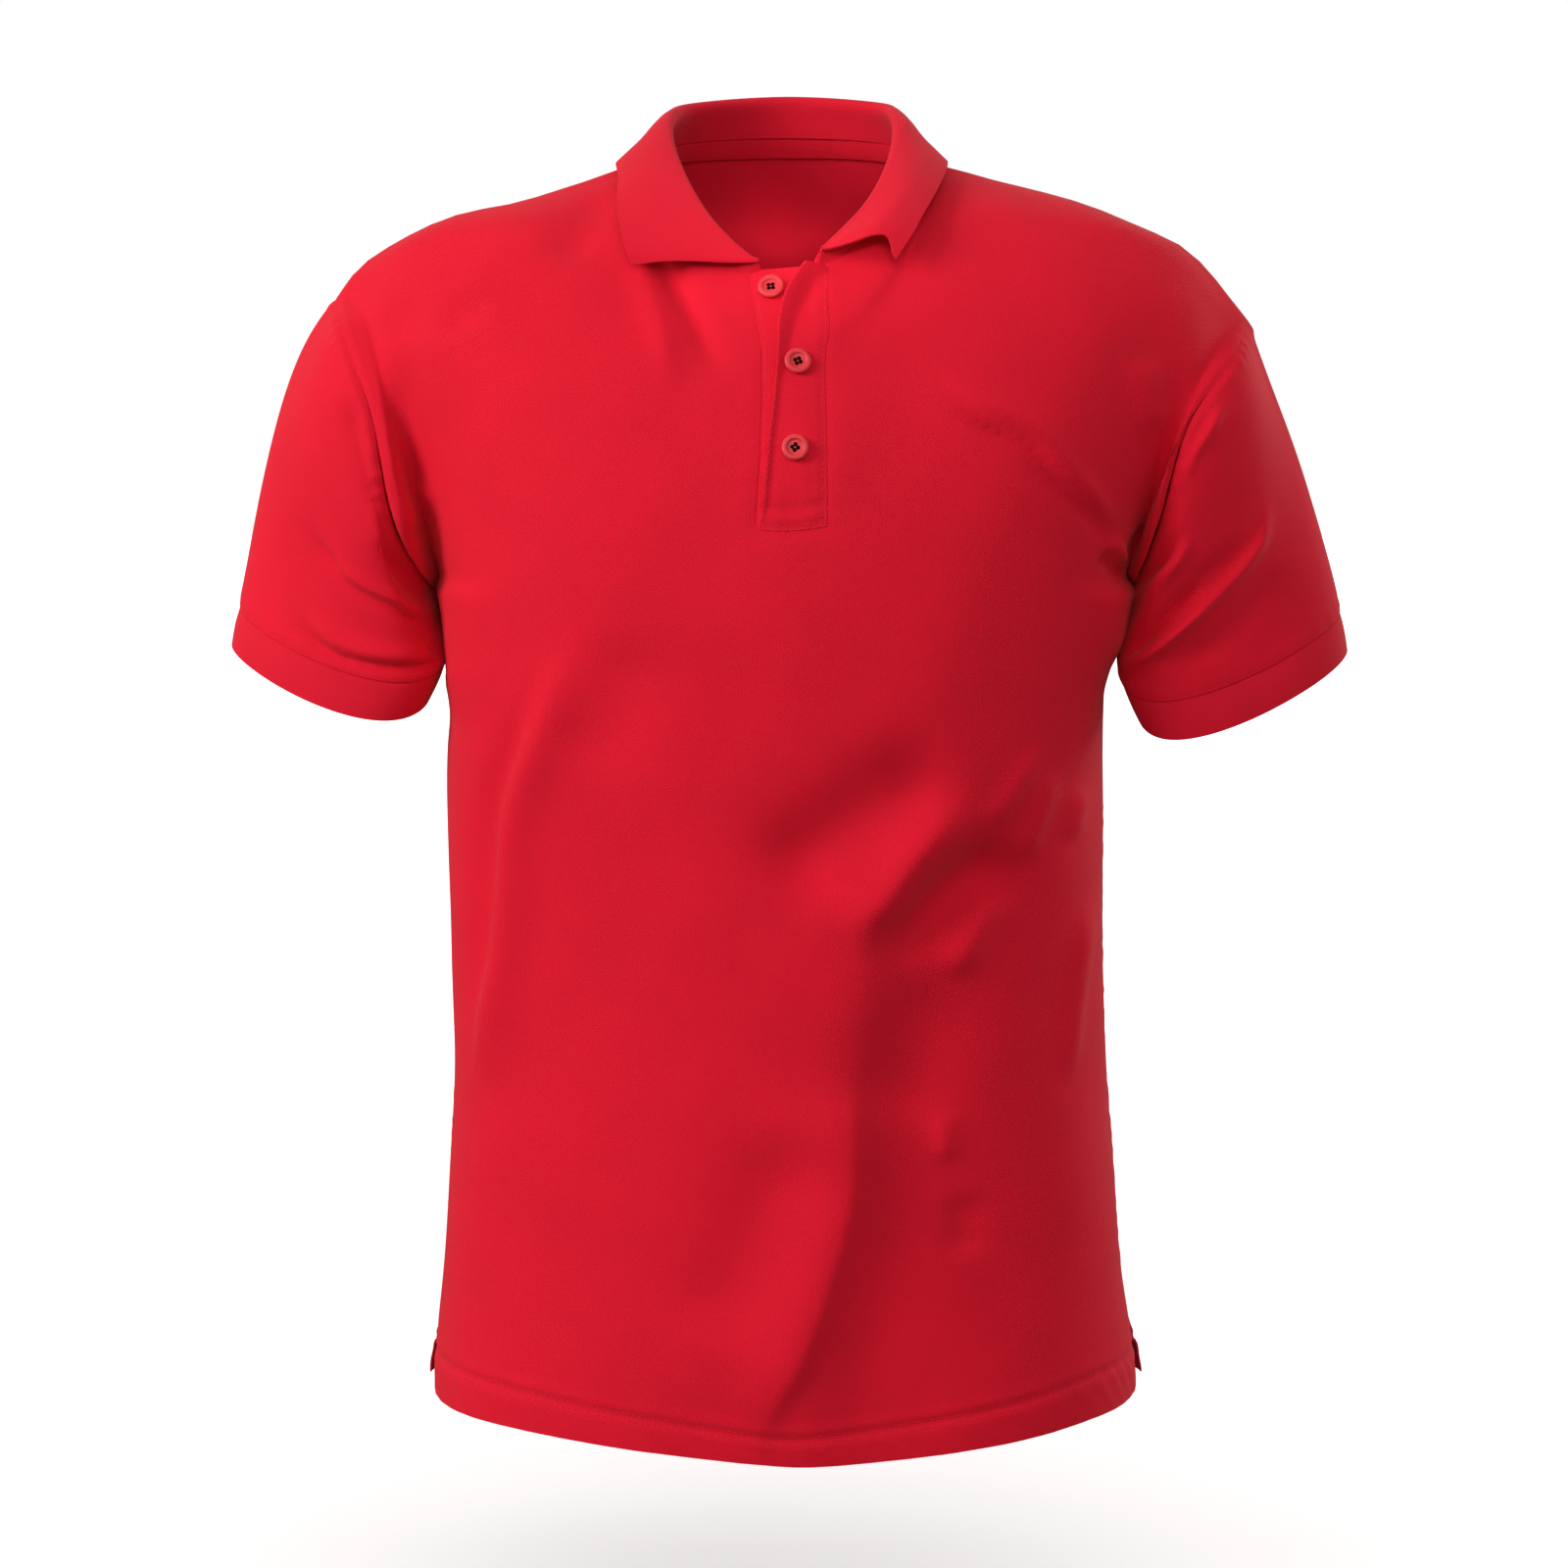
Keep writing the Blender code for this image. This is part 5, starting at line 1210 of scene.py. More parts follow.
def white_paper(glow):
    """White paper of the studio's floor: bright where the camera sees it, and dim to the shirt above it."""
    look = bpy.data.materials.get("white_paper") or bpy.data.materials.new("white_paper")
    tree = empty_tree(look)
    # Its own light fills up what the lamps leave, more so far from the shirt
    spot = add_node(tree, "ShaderNodeTexCoord").outputs["Object"]
    far = add_node(tree, "ShaderNodeVectorMath", {"operation": "LENGTH"}, {0: spot})
    strength = add_node(tree, "ShaderNodeMapRange", links={
        "Value": far.outputs["Value"], "From Min": FLOOR_GLOW_PLACES[0], "From Max": FLOOR_GLOW_PLACES[1],
        "To Min": glow, "To Max": glow + FLOOR_GLOW_RISE})
    bright = add_node(tree, "ShaderNodeBsdfPrincipled", links={
        "Base Color": WHITE, "Roughness": 0.9, "Specular IOR Level": 0.0, "Emission Color": WHITE,
        "Emission Strength": strength})
    dim = add_node(tree, "ShaderNodeBsdfDiffuse", links={"Color": (0.25, 0.25, 0.25, 1.0)})
    seen = add_node(tree, "ShaderNodeLightPath").outputs["Is Camera Ray"]
    either = add_node(tree, "ShaderNodeMixShader", links={0: seen, 1: dim, 2: bright})
    add_node(tree, "ShaderNodeOutputMaterial", links={0: either})
    return look


# The shirt's surfaces, made once and used by several pieces

def size_values():
    """The sizes set in the panel."""
    return bpy.context.scene.polo_sizes


@functools.lru_cache(maxsize=2)
def panel(face):
    """A panel's finished surface and normals, and its places up and across."""
    points, rows, columns = base(face)
    if face == "front":
        bent = bend_threads(columns, rows)
        points = np.stack([through(columns, line, places) for line, places in zip(points, bent)])
    across, up = np.meshgrid(columns, rows)
    points, normals = dressed(face, points, across, up, size_values())
    return points, normals, rows, columns


@functools.lru_cache(maxsize=1)
def guide_surfaces():
    """The front and back at fewer places, which the collar is laid on."""
    found = []
    for face, ends, steps in (("front", FRONT_ENDS, FRONT_STEPS), ("back", BACK_ENDS, BACK_STEPS)):
        points, normals, rows, columns = panel(face)
        few = [int(np.argmin(np.abs(rows - place))) for place in np.linspace(0.0, 1.0, GUIDE_ROWS)]
        picked = np.ix_(few, np.searchsorted(columns, steps_to_places(ends, steps) - TINY))
        found.append((points[picked], normals[picked]))
    return found


def front_at(across, up):
    """The finished front's surface at rows of places across, one row for each place up."""
    points, _, rows, columns = panel("front")
    lines = through(rows, points.reshape(len(rows), -1), up).reshape(len(up), len(columns), 3)
    return np.stack([through(places, line, spots)
                     for places, line, spots in zip(bend_threads(columns, up), lines, across)])


def placket_hole():
    """Rows and columns of the front that the placket takes the place of."""
    points, _, _, columns = panel("front")
    first = int(np.searchsorted(columns, SLIT_LEFT - TINY))
    last = int(np.searchsorted(columns, SLIT_RIGHT - TINY))
    middle = points[:, (first + last) // 2, 2]
    lowest = int(np.argmin(np.abs(middle - PLACKET_BOTTOM)))
    return range(lowest, len(middle) - 1), range(first, last)


class PoloSizes(bpy.types.PropertyGroup):
    """Sizes of the shirt's cloth and details."""
    cloth_wall: bpy.props.FloatProperty(name="Pique", description="Thickness of the panels' cloth",
                                        default=0.0009, min=0.0004, unit="LENGTH")
    knit_wall: bpy.props.FloatProperty(name="Flat knit", description="Thickness of the collar and cuffs",
                                       default=0.0013, min=0.0005, unit="LENGTH")
    seam_depth: bpy.props.FloatProperty(name="Seam depth", description="Depth of the grooves along the seams",
                                        default=0.0008, min=0.0, unit="LENGTH")
    pucker: bpy.props.FloatProperty(name="Pucker", description="Height of the gathers beside the seams",
                                    default=0.00035, min=0.0, unit="LENGTH")
    wave_height: bpy.props.FloatProperty(name="Unevenness", description="Height of the cloth's soft waves",
                                         default=0.0011, min=0.0, unit="LENGTH")
    stitch_pitch: bpy.props.FloatProperty(name="Stitch pitch", description="From one stitch to the next",
                                          default=0.0034, min=0.001, unit="LENGTH")
    stitch_width: bpy.props.FloatProperty(name="Thread", description="Width of the sewing thread",
                                          default=0.00035, min=0.0002, unit="LENGTH")
    button_width: bpy.props.FloatProperty(name="Button", description="Width of a button",
                                          default=0.014, min=0.005, unit="LENGTH")
    floor_drop: bpy.props.FloatProperty(name="Floor", description="Height of the floor under the shirt",
                                        default=-0.80, unit="LENGTH")
    key_power: bpy.props.FloatProperty(name="Key light", description="Power of the main light",
                                       default=53.0, unit="POWER")
    top_power: bpy.props.FloatProperty(name="Top light", description="Power of the overhead light",
                                       default=9.0, unit="POWER")
    fill_power: bpy.props.FloatProperty(name="Fill light", description="Power of the light from the front",
                                        default=15.0, unit="POWER")
    rim_power: bpy.props.FloatProperty(name="Rim light", description="Power of the light from behind",
                                       default=24.0, unit="POWER")
    neck_power: bpy.props.FloatProperty(name="Neck light", description="Power of the light into the neck",
                                        default=100.0, unit="POWER")
    ambient: bpy.props.FloatProperty(name="Ambient", description="Strength of the light from all round",
                                     default=0.84, min=0.0)
    floor_glow: bpy.props.FloatProperty(name="Floor glow", description="The floor's own light near the shirt",
                                        default=0.545, min=0.0)


class POLO_OT_panels(bpy.types.Operator):
    """Build the front and the back in pique, with folds, seams and the turned-up hem"""
    bl_idname = "polo.panels"
    bl_label = "Front and back"

    def execute(self, context):
        sizes = size_values()
        look = pique_cotton()
        for face in ("front", "back"):
            points, normals, rows, columns = panel(face)
            order = columns if face == "front" else 1.0 - columns[::-1]
            flat = lay_flat(points, rows, order)
            hole = placket_hole() if face == "front" else None
            mesh = cloth_mesh(face + "_cloth", points, normals, sizes.cloth_wall, flat, hole=hole)
            piece = add_piece(face + "_cloth", mesh, look, (face,))
        return {"FINISHED"}


class POLO_OT_sleeves(bpy.types.Operator):
    """Build both sleeves in pique and their flat-knit cuffs"""
    bl_idname = "polo.sleeves"
    bl_label = "Sleeves and cuffs"

    def execute(self, context):
        sizes = size_values()
        turns = tube_turns()
        for side in ("left", "right"):
            rows = np.concatenate([SLEEVE_FOOT, np.linspace(*SLEEVE_SPAN, SLEEVE_ROWS), SLEEVE_HEAD])
            turn, down = np.meshgrid(turns, 1.0 - rows)
            points = sleeve_surface(side, turn, down)
            places = turns
            if side == "left":
                points, places = points[:, ::-1], 1.0 - turns[::-1]
            points, normals = worn(points, True, sizes)
            flat = lay_flat(points, rows, places)
            sleeve = "sleeve_%s_cloth" % side
            mesh = cloth_mesh(sleeve, points, normals, sizes.cloth_wall, flat, closed=True)
            piece = add_piece(sleeve, mesh, pique_cotton(), ("sleeve_" + side,))
            rows = np.concatenate([CUFF_FOOT, np.linspace(*CUFF_SPAN, CUFF_ROWS), CUFF_HEAD])
            turn, rise = np.meshgrid(turns, rows)
            points = cuff_ring(side, turn, rise)
            if side == "left":
                points = points[:, ::-1]
            normals = grid_normals(points, True)
            tucked = (CUFF_TUCK - CUFF_INSET) * ease((rise - 0.94) / 0.06)
            belly = CUFF_BELLY * np.sin(math.pi * np.minimum(rise, 1.0))
            ripple = wave_relief(points, sizes.wave_height * 0.5) * ease((1.0 - rise) / 0.5)
            points = points - normals * (CUFF_INSET + tucked - belly - ripple)[..., None]
            flat = lay_flat(points, rows, places, count=3)
            normals = grid_normals(points, True)
            cuff = "cuff_%s_knit" % side
            mesh = cloth_mesh(cuff, points, normals, sizes.knit_wall, flat, closed=True)
            piece = add_piece(cuff, mesh, flat_knit(), ("cuff_" + side,))
        return {"FINISHED"}


def settle(points, grounds, clearance):
    """Lift points that lie lower than the clearance over the nearest ground point's plane."""
    ground = np.concatenate([grid.reshape(-1, 3) for grid, _ in grounds])
    facing = np.concatenate([normals.reshape(-1, 3) for _, normals in grounds])
    flat = points.reshape(-1, 3).copy()
    for number, point in enumerate(flat):
        gaps = np.sum((ground - point) ** 2, axis=1)
        near = np.argsort(gaps)[:4]
        weights = 1.0 / (gaps[near] + TINY)
        normal = unit(weights @ facing[near])
        height = weights @ ((point - ground[near]) @ normal) / np.sum(weights)
        if height < clearance:
            flat[number] = point + normal * (clearance - height)
    return flat.reshape(points.shape)


def collar_rows(stations, shares, facing, depth):
    """Rows across the collar at a depth under its visible face, from the neck seam over the fold."""
    knots = np.arange(len(COLLAR))
    seam, fold, edge, bulge, rolled = (through(knots, column(COLLAR, COLLAR_COLUMNS, name), stations)
                                       for name in COLLAR_COLUMNS)
    crease = unit(np.gradient(fold, axis=0))
    up = across_line(fold - seam, crease)
    drop = across_line(edge - fold, crease)
    rise = np.sum(drop * up, axis=-1, keepdims=True)
    out = across_line(drop, up)
    middle = fold - up * rolled
    sweep = np.arctan2(-rise, np.sqrt(1.0 - rise ** 2)) + math.pi / 2
    turns = [sweep * share - math.pi / 2 for share in np.linspace(0.0, 1.0, 5)]
    arc = [middle + (out * np.sin(turn) + up * np.cos(turn)) * (rolled - depth) for turn in turns]
    lean = out * np.sin(turns[-1]) + up * np.cos(turns[-1])
    leaf = (middle + edge + lean * rolled) / 2 + lean * (bulge - depth)
    seam = seam - unit(facing + out) * (KNIT_WALL - depth)
    profile = np.stack([seam, (seam + arc[0]) / 2, *arc, leaf, edge - lean * depth])
    flat = profile.reshape(len(COLLAR_KNOTS), -1)
    return through(COLLAR_KNOTS, flat, np.array(shares)).reshape(len(shares), -1, 3)


def neck_stations():
    """Collar stations at the panels' own neck points, and a few past the placket's edges."""
    left, right = NECK_POINT_STATIONS["left"], NECK_POINT_STATIONS["right"]
    start, end = PLACKET_STATIONS["left"], PLACKET_STATIONS["right"]
    last = len(COLLAR) - 1.0
    pieces = [
        np.linspace(0.0, start, COLLAR_END_STEPS + 1)[:-1],
        start + (left - start) * corner_ease(np.linspace(0.0, 1.0, FRONT_STEPS[2] + 1))[:-1],
        left + (right - left) * corner_ease(np.linspace(0.0, 1.0, BACK_STEPS[2] + 1))[:-1],
        right + (end - right) * corner_ease(np.linspace(0.0, 1.0, FRONT_STEPS[4] + 1))[:-1],
        np.linspace(end, last, COLLAR_END_STEPS + 1),
    ]
    return np.concatenate(pieces)


def neck_facing(stations):
    """The panels' normals along the neck seam, from the nearest points of their top edges."""
    tops = np.concatenate([panel(face)[0][-1] for face in ("front", "back")])
    facing = np.concatenate([panel(face)[1][-1] for face in ("front", "back")])
    weights = [1.0 / (np.sum((tops - point) ** 2, axis=1) + 1e-9) for point in neck_seam(stations)]
    return unit(np.array(weights) @ facing)


@functools.lru_cache(maxsize=1)
def collar_surface():
    """The folded collar's visible face, from the neck seam over the fold and down to the leaf's edge."""
    stations = neck_stations()
    grounds = guide_surfaces()
    coarse = collar_rows(stations, COLLAR_ACROSS, neck_facing(stations), 0.0)
    first = COLLAR_ACROSS.index(LEAF_START)
    for _ in range(SETTLE_ROUNDS):
        coarse[first:] = settle(coarse[first:], grounds, LEAF_CLEAR)
    rows = np.linspace(0.0, 1.0, COLLAR_ROWS + 1)
    knots = np.arange(len(stations))
    columns = split_places(knots, STEP_SPLIT)
    fine = read_grid(coarse, (np.array(COLLAR_ACROSS), knots), (rows, columns))
    for row, place in enumerate(rows):
        cut = [through(*np.array(END_ARCH[side]).T, place)[0] for side in ("left", "right")]
        near = [ease(1.0 - gap / ARCH_REACH) for gap in (columns, knots[-1] - columns)]
        fine[row] = through(columns, fine[row], columns + cut[0] * near[0] - cut[1] * near[1])
    return fine, rows, columns


class POLO_OT_collar(bpy.types.Operator):
    """Build the folded flat-knit collar and the tape over the neck seam"""
    bl_idname = "polo.collar"
    bl_label = "Collar and neck tape"

    def execute(self, context):
        sizes = size_values()
        points, rows, columns = collar_surface()
        normals = grid_normals(points)
        flat = lay_flat(points, rows, columns, count=3)
        mesh = cloth_mesh("collar_knit", points, normals, sizes.knit_wall, flat)
        piece = add_piece("collar_knit", mesh, flat_knit(), ("collar",))
        ground, facing, _, places = panel("back")
        left = int(np.searchsorted(1.0 - places[::-1], BACK_ENDS[2] + TAPE_ENDS))
        right = int(np.searchsorted(1.0 - places[::-1], BACK_ENDS[3] - TAPE_ENDS))
        inner = ground - facing * (sizes.cloth_wall + TAPE_GAP)
        top, below = inner[-1, left:right], inner[-TAPE_SLOPE, left:right]
        reach = unit(below - top)
        rows = np.linspace(0.0, 1.0, TAPE_ROWS)
        tape = np.stack([top + reach * (TAPE_START + TAPE_WIDTH * down) for down in rows[::-1]])
        facing = -grid_normals(tape)
        bow = np.sin(math.pi * rows)[:, None, None] * TAPE_BOW
        tape = tape + facing * bow
        flat = lay_flat(tape, rows, np.linspace(0.0, 1.0, tape.shape[1]), count=2)
        mesh = cloth_mesh("neck_tape_cloth", tape, -facing, TAPE_WALL, flat)
        piece = add_piece("neck_tape_cloth", mesh, pique_cotton(), ("neck_tape",))
        return {"FINISHED"}


@functools.lru_cache(maxsize=1)
def placket_surfaces():
    """The lower and upper strips' outer faces with their normals, places up and shares across."""
    hole_rows, _ = placket_hole()
    _, _, rows, _ = panel("front")
    up = rows[hole_rows[0]:]
    share = np.linspace(0.0, 1.0, UNDER_COLUMNS)
    edge = line_places(SLIT_EDGE, up)[:, None]
    across = edge + (SLIT_RIGHT - edge) * share
    under = front_at(across, up)
    under = under - grid_normals(under) * UNDER_DROP
    up_over = np.concatenate([np.linspace(up[0] - PLACKET_FOOT, up[0], FOOT_ROWS + 1)[:-1],
                              np.linspace(up[0], 1.0 - PLACKET_NECK, OVER_ROWS)])
    edge = line_places(FREE_EDGE, up_over)[:, None]
    share_over = np.concatenate([OVER_LEFT, np.linspace(*OVER_SPAN, OVER_COLUMNS), OVER_RIGHT])
    across = edge + (SLIT_RIGHT + PLACKET_LAP - edge) * share_over
    over = front_at(across, up_over)
    over = over + grid_normals(over) * placket_lift(over)[..., None]
    return {"under": (under, grid_normals(under), up, share),
            "over": (over, grid_normals(over), up_over, share_over)}


def placket_lift(points):
    """How far the upper strip's face lies over the front: flat where it is sewn, pulled up at its top."""
    height = points[..., 2]
    steps = np.linalg.norm(np.diff(points, axis=1), axis=-1)
    gap = np.concatenate([np.zeros((len(points), 1)), np.cumsum(steps, axis=1)], axis=1)
    # The strip opens from the second button upwards, over 70 mm, and is sewn down at its foot
    opened = ease((height + 0.135) / 0.070)
    crest = (0.0020 + 0.0065 * opened) * ease((height + 0.2065) / 0.026)
    slope = 1.0 - ease(gap / (0.005 + 0.010 * opened))
    # Its edge is rounded, and stitched 3 mm in
    rim = -0.0005 * bell(gap, 0.0009)
    stitched = -0.0003 * bell(gap - 0.0030, 0.0007)
    return PLACKET_LEVEL + crest * slope + rim + stitched


class POLO_OT_placket(bpy.types.Operator):
    """Build the two placket strips"""
    bl_idname = "polo.placket"
    bl_label = "Placket"

    def execute(self, context):
        for layer in ("under", "over"):
            points, normals, rows, columns = placket_surfaces()[layer]
            flat = lay_flat(points, rows, columns, count=3)
            name = "placket_%s_cloth" % layer
            mesh = cloth_mesh(name, points, normals, PLACKET_WALL, flat)
            piece = add_piece(name, mesh, pique_cotton(), ("placket_" + layer,))
        return {"FINISHED"}


# A button's profile from the middle of its face over its rim to the middle of its back, as shares of its
# radius and of its thickness; the thickness as a share of its width, and the height of its dished middle
BUTTON_PROFILE = ((0.0, 0.55), (0.48, 0.56), (0.56, 0.62), (0.62, 0.88), (0.68, 1.0), (0.86, 1.0),
                  (0.96, 0.84), (1.0, 0.56), (0.95, 0.25), (0.80, 0.0), (0.0, 0.0))
BUTTON_THICKNESS = 0.20
BUTTON_DISH = 0.56
BUTTON_STEPS = 48
BUTTON_GAP = 0.0006         # between the cloth and a button's back
BUTTON_TURNS = (8.0, 21.0, 37.0)  # how far each is turned about its axis, in degrees
BUTTON_TILTS = ((0.0, 0.0, 0.0), (0.10, 0.0, 0.05), (0.0, 0.0, 0.0))  # the second one leans to the side
# The thread in the holes is drawn as wide flat pads covering most of the dished middle, so that their
# near-black colour paints the holes' shade
HOLE_PLACE = 0.0011         # from a button's middle to a hole, along both of its axes
HOLE_SIZE = (0.0013, 0.0013, 0.0002)  # half sizes of the thread in a hole and of a stretch between two
THREAD_SIZE = (0.0004, 0.0014, 0.0003)


def button_shape(width):
    """Button with a raised rim and a dished middle, its axis along Z and its back at zero."""
    shape = bmesh.new()
    corners = [shape.verts.new((width / 2 * out, 0.0, width * BUTTON_THICKNESS * up))
               for out, up in BUTTON_PROFILE]
    edges = [shape.edges.new(pair) for pair in zip(corners, corners[1:])]
    bmesh.ops.spin(shape, geom=corners + edges, cent=(0, 0, 0), axis=(0, 0, 1), angle=2 * math.pi,
                   steps=BUTTON_STEPS, use_merge=True)
    bmesh.ops.remove_doubles(shape, verts=shape.verts, dist=TINY)
    bmesh.ops.recalc_face_normals(shape, faces=shape.faces)
    return shape


def add_ball(shape, place, size):
    """Add a low rounded body to a mesh, its sizes along the axes of the matrix."""
    turn = place @ Matrix.Diagonal((*size, 1.0))
    bmesh.ops.create_icosphere(shape, subdivisions=1, radius=1.0, matrix=turn)


class POLO_OT_buttons(bpy.types.Operator):
    """Build the three buttons with their thread"""
    bl_idname = "polo.buttons"
    bl_label = "Buttons"

    def execute(self, context):
        sizes = size_values()
        layers = {"button_1": "under", "button_2": "over", "button_3": "over"}
        thread = bmesh.new()
        for number, (node, layer) in enumerate(layers.items()):
            low, high = (Vector(corner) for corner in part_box(node))
            points, normals, _, _ = placket_surfaces()[layer]
            flat = points.reshape(-1, 3)
            middle = (low + high) / 2
            near = np.argsort(np.sum((flat[:, (0, 2)] - np.array([middle.x, middle.z])) ** 2, axis=1))[:9]
            normal = Vector(unit(normals.reshape(-1, 3)[near].mean(axis=0)))
            normal = (normal + Vector(BUTTON_TILTS[number])).normalized()
            seat = Vector((middle.x, float(flat[near, 1].mean()), middle.z)) + normal * BUTTON_GAP
            turn = Matrix.Translation(seat) @ normal.to_track_quat("Z", "Y").to_matrix().to_4x4()
            turn = turn @ Matrix.Rotation(math.radians(BUTTON_TURNS[number]), 4, "Z")
            shape = button_shape(sizes.button_width)
            bmesh.ops.transform(shape, matrix=turn, verts=shape.verts)
            mesh = finished_mesh(node + "_detail", shape, BUTTON_SHARP)
            add_piece(node + "_detail", mesh, moulded_polyester(), (node,))
            # Near-black thread pads in the dish: real thread, and painted shade of the holes
            top = sizes.button_width * BUTTON_THICKNESS * BUTTON_DISH
            for x in (-HOLE_PLACE, HOLE_PLACE):
                for y in (-HOLE_PLACE, HOLE_PLACE):
                    add_ball(thread, turn @ Matrix.Translation((x, y, top)), HOLE_SIZE)
                spot = turn @ Matrix.Translation((x, 0.0, top + HOLE_SIZE[2]))
                add_ball(thread, spot, THREAD_SIZE)
        mesh = finished_mesh("button_thread", thread, smooth=False)
        add_piece("button_thread", mesh, hole_shade_thread())
        return {"FINISHED"}


HEM_STITCHES = 0.0018       # the hem's two rows of stitches lie this far over and under its band's edge
STITCH_ROW = 0.0008         # the cloth is read this far over and under such a row
STITCH_RUN = 0.001          # a stitch's direction is taken over this length each way
STITCH_LIFT = 0.00005       # its middle lies this far over the cloth
STITCH_SHARES = (0.40, 0.6, 0.35)  # its half length in pitches, and half width and height in threads


def read_line(points, length, at):
    """Values along a line of points, read at places given as lengths."""
    return np.stack([np.interp(at, length, points[:, axis]) for axis in range(3)], axis=1)


def stitch_row(shape, line, facing, sizes):
    """Sew a row of stitches along a line of points, lying on the surface that faces the given way."""
    steps = np.linalg.norm(np.diff(line, axis=0), axis=1)
    length = np.concatenate([[0.0], np.cumsum(steps)])
    count = max(1, int(length[-1] / sizes.stitch_pitch))
    at = (np.arange(count) + 0.5) / count * length[-1]
    runs = read_line(line, length, at + STITCH_RUN) - read_line(line, length, at - STITCH_RUN)
    for spot, way, run in zip(read_line(line, length, at), read_line(facing, length, at), runs):
        up = Vector(way).normalized()
        run = Vector(run).normalized()
        side = up.cross(run).normalized()
        turn = Matrix((run, side, up)).transposed().to_4x4()
        turn = Matrix.Translation(Vector(spot) + up * STITCH_LIFT) @ turn
        wholes = (sizes.stitch_pitch, sizes.stitch_width, sizes.stitch_width)
        add_ball(shape, turn, [whole * share for whole, share in zip(wholes, STITCH_SHARES)])


class POLO_OT_stitching(bpy.types.Operator):
    """Sew the rows of stitches along the hem and the placket"""
    bl_idname = "polo.stitching"
    bl_label = "Stitching"

    def execute(self, context):
        sizes = size_values()
        shape = bmesh.new()
        for face in ("front", "back"):
            _, _, _, columns = panel(face)
            for extra in (-HEM_STITCHES, HEM_STITCHES):
                band = hem_band(face, columns) + extra
                rows = np.stack([band - STITCH_ROW, band, band + STITCH_ROW]) / SIDE_LENGTH * 0.5
                across = np.repeat(columns[None], 3, axis=0)
                points, normals = dressed(face, panel_surface(face, across, rows), across, rows, sizes)
                stitch_row(shape, points[1], normals[1], sizes)
        # The upper strip is sewn along both edges and closed by two rows across its foot
        points, normals, _, share = placket_surfaces()["over"]
        left, right = (int(np.searchsorted(share, place)) for place in (0.05, 0.93))
        for number in (right, left):
            stitch_row(shape, points[2:, number], normals[2:, number], sizes)
        for row in (1, FOOT_ROWS):
            stitch_row(shape, points[row, left:right], normals[row, left:right], sizes)
        points, normals, _, _ = placket_surfaces()["under"]
        stitch_row(shape, points[3:-2, 2], normals[3:-2, 2], sizes)
        mesh = finished_mesh("stitching", shape)
        add_piece("stitching", mesh, polyester_thread())
        return {"FINISHED"}


# The stage: a round floor, the room's light, disk lamps as (place, width), a small light into the neck
# that the collar would leave dark, and the camera
WHITE = (1.0, 1.0, 1.0, 1.0)
FLOOR_RADIUS = 14.0
FLOOR_GLOW_PLACES = (0.8, 1.9)  # the floor's own light rises between these distances from its middle
FLOOR_GLOW_RISE = 0.5
ROOM_COLOUR = (1.0, 0.985, 0.97, 1.0)
ROOM_ZENITH = 0.35          # the room's light from straight above, against that from the horizon
LAMPS = {
    "key": ((-2.25, -1.3, 0.8), 1.3),
    "top": ((-0.3, -0.3, 4.0), 1.2),
    "fill": ((0.4, -3.0, 0.9), 1.6),
    "rim": ((2.4, 1.6, 0.5), 1.2),
}
LAMP_AIM = (0.0, 0.0, -0.35)
NECK_PLACE = (0.0, -1.5, 0.35)
NECK_AIM = (0.0, 0.07, -0.076)
NECK_ANGLE = 4.2            # degrees
NECK_RADIUS = 0.06
CAMERA_PLACE = (0.0, -2.0, -0.13)
CAMERA_AIM = (0.0, 0.0, -0.351)
CAMERA_LENS = 83.84         # millimetres, for a sensor of this width
CAMERA_SENSOR = 36.0
CAMERA_SHIFT = -2.0 / 1600.0  # the picture lies two pixels of its 1600 to the side


def aim(item, place, target):
    """Put a lamp or camera in a place and point it at a target."""
    item.location = place
    item.rotation_euler = (Vector(target) - Vector(place)).to_track_quat("-Z", "Y").to_euler()


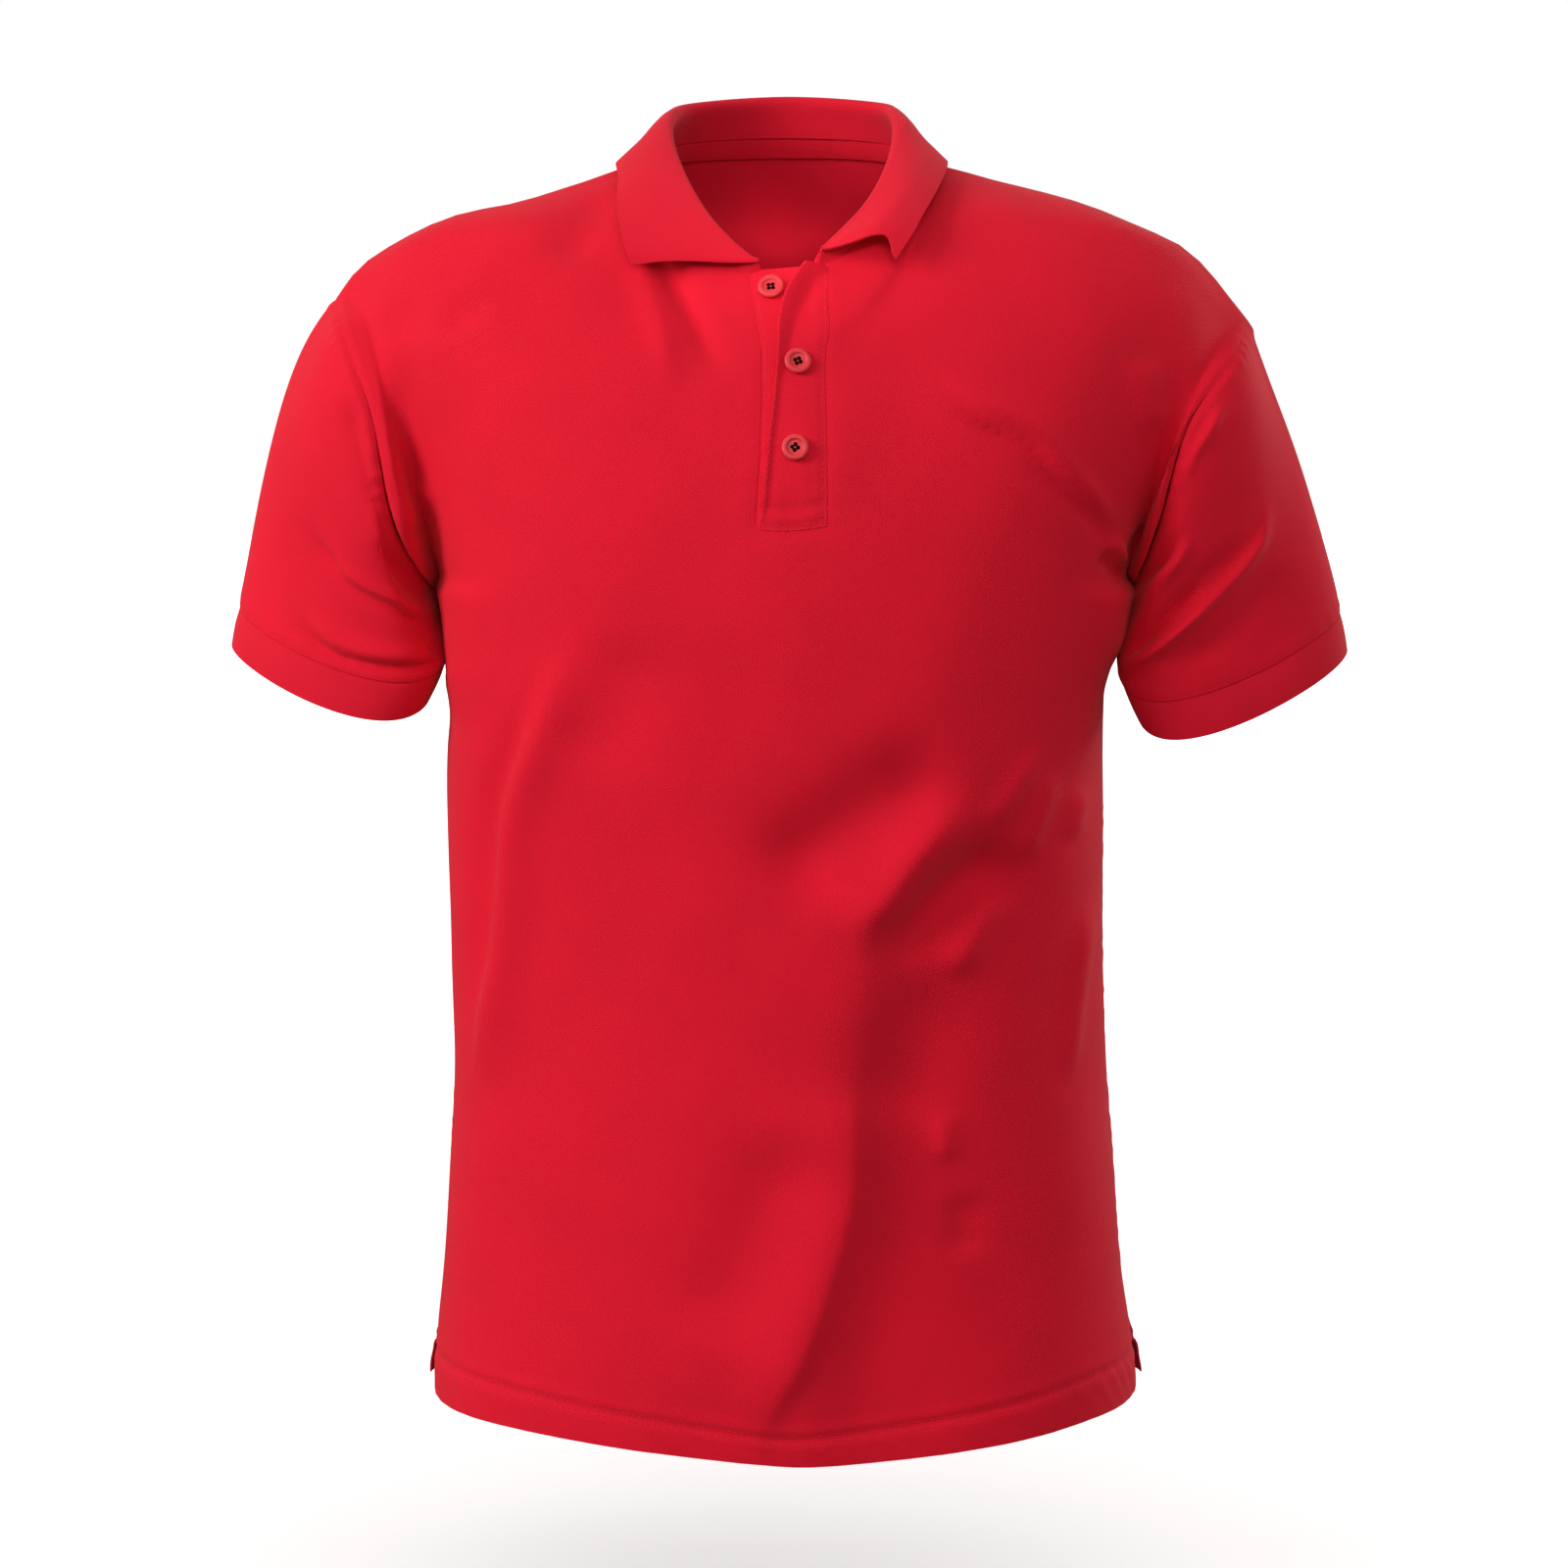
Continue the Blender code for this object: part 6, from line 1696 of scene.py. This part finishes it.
class POLO_OT_stage(bpy.types.Operator):
    """Set up the floor, the light and the camera"""
    bl_idname = "polo.stage"
    bl_label = "Floor, light and camera"

    def execute(self, context):
        sizes = size_values()
        scene = context.scene
        shape = bmesh.new()
        bmesh.ops.create_circle(shape, cap_ends=True, segments=96, radius=FLOOR_RADIUS)
        bmesh.ops.translate(shape, verts=shape.verts, vec=(0.0, 0.0, sizes.floor_drop))
        floor = add_object("studio_floor", finished_mesh("studio_floor", shape, smooth=False))
        floor.data.materials.append(white_paper(sizes.floor_glow))
        # The room's light comes from all round, and less from straight above
        scene.world = bpy.data.worlds.new("studio")
        tree = empty_tree(scene.world)
        ways = add_node(tree, "ShaderNodeTexCoord").outputs["Object"]
        parts = add_node(tree, "ShaderNodeSeparateXYZ", links={0: ways})
        strength = add_node(tree, "ShaderNodeMapRange", links={
            "Value": parts.outputs["Z"], "To Min": sizes.ambient, "To Max": sizes.ambient * ROOM_ZENITH})
        soft = add_node(tree, "ShaderNodeBackground", links={"Color": ROOM_COLOUR, "Strength": strength})
        plain = add_node(tree, "ShaderNodeBackground", links={"Color": WHITE, "Strength": 1.0})
        seen = add_node(tree, "ShaderNodeLightPath").outputs["Is Camera Ray"]
        either = add_node(tree, "ShaderNodeMixShader", links={0: seen, 1: soft, 2: plain})
        add_node(tree, "ShaderNodeOutputWorld", links={0: either})
        # Only the light from above falls on the floor, so the shirt's shadow lies straight under it
        unlit = bpy.data.collections.new("floor_unlit")
        unlit.objects.link(floor)
        unlit.collection_objects[0].light_linking.link_state = "EXCLUDE"
        for name, (place, width) in LAMPS.items():
            light = bpy.data.lights.new(name, "AREA")
            light.shape = "DISK"
            light.size = width
            light.energy = getattr(sizes, name + "_power")
            lamp = add_object(name, light)
            aim(lamp, place, LAMP_AIM)
            if name != "top":
                lamp.light_linking.receiver_collection = unlit
        light = bpy.data.lights.new("neck", "SPOT")
        light.energy = sizes.neck_power
        light.shadow_soft_size = NECK_RADIUS
        light.spot_size = math.radians(NECK_ANGLE)
        light.spot_blend = 1.0
        aim(add_object("neck", light), NECK_PLACE, NECK_AIM)
        lens = bpy.data.cameras.new("camera")
        lens.lens = CAMERA_LENS
        lens.sensor_width = CAMERA_SENSOR
        lens.shift_x = CAMERA_SHIFT
        scene.camera = add_object("camera", lens)
        aim(scene.camera, CAMERA_PLACE, CAMERA_AIM)
        scene.view_settings.view_transform = "Standard"
        return {"FINISHED"}


OPERATORS = (POLO_OT_panels, POLO_OT_sleeves, POLO_OT_collar, POLO_OT_placket, POLO_OT_buttons,
             POLO_OT_stitching, POLO_OT_stage)


class POLO_PT_panel(bpy.types.Panel):
    """Lists the shirt's sizes and the operators that build it"""
    bl_idname = "POLO_PT_panel"
    bl_label = "Polo shirt"
    bl_space_type = "VIEW_3D"
    bl_region_type = "UI"
    bl_category = "Polo shirt"

    def draw(self, context):
        for name in PoloSizes.__annotations__:
            self.layout.prop(context.scene.polo_sizes, name)
        for operator in OPERATORS:
            self.layout.operator(operator.bl_idname)


CLASSES = (PoloSizes, *OPERATORS, POLO_PT_panel)


def register():
    """Register the classes and the scene's sizes."""
    for kind in CLASSES:
        bpy.utils.register_class(kind)
    bpy.types.Scene.polo_sizes = bpy.props.PointerProperty(type=PoloSizes)


def unregister():
    """Undo register."""
    del bpy.types.Scene.polo_sizes
    for kind in reversed(CLASSES):
        bpy.utils.unregister_class(kind)


def main():
    """Build every piece in order."""
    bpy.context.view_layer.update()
    register()
    for operator in OPERATORS:
        group, name = operator.bl_idname.split(".")
        getattr(getattr(bpy.ops, group), name)()


if __name__ == "__main__":
    main()
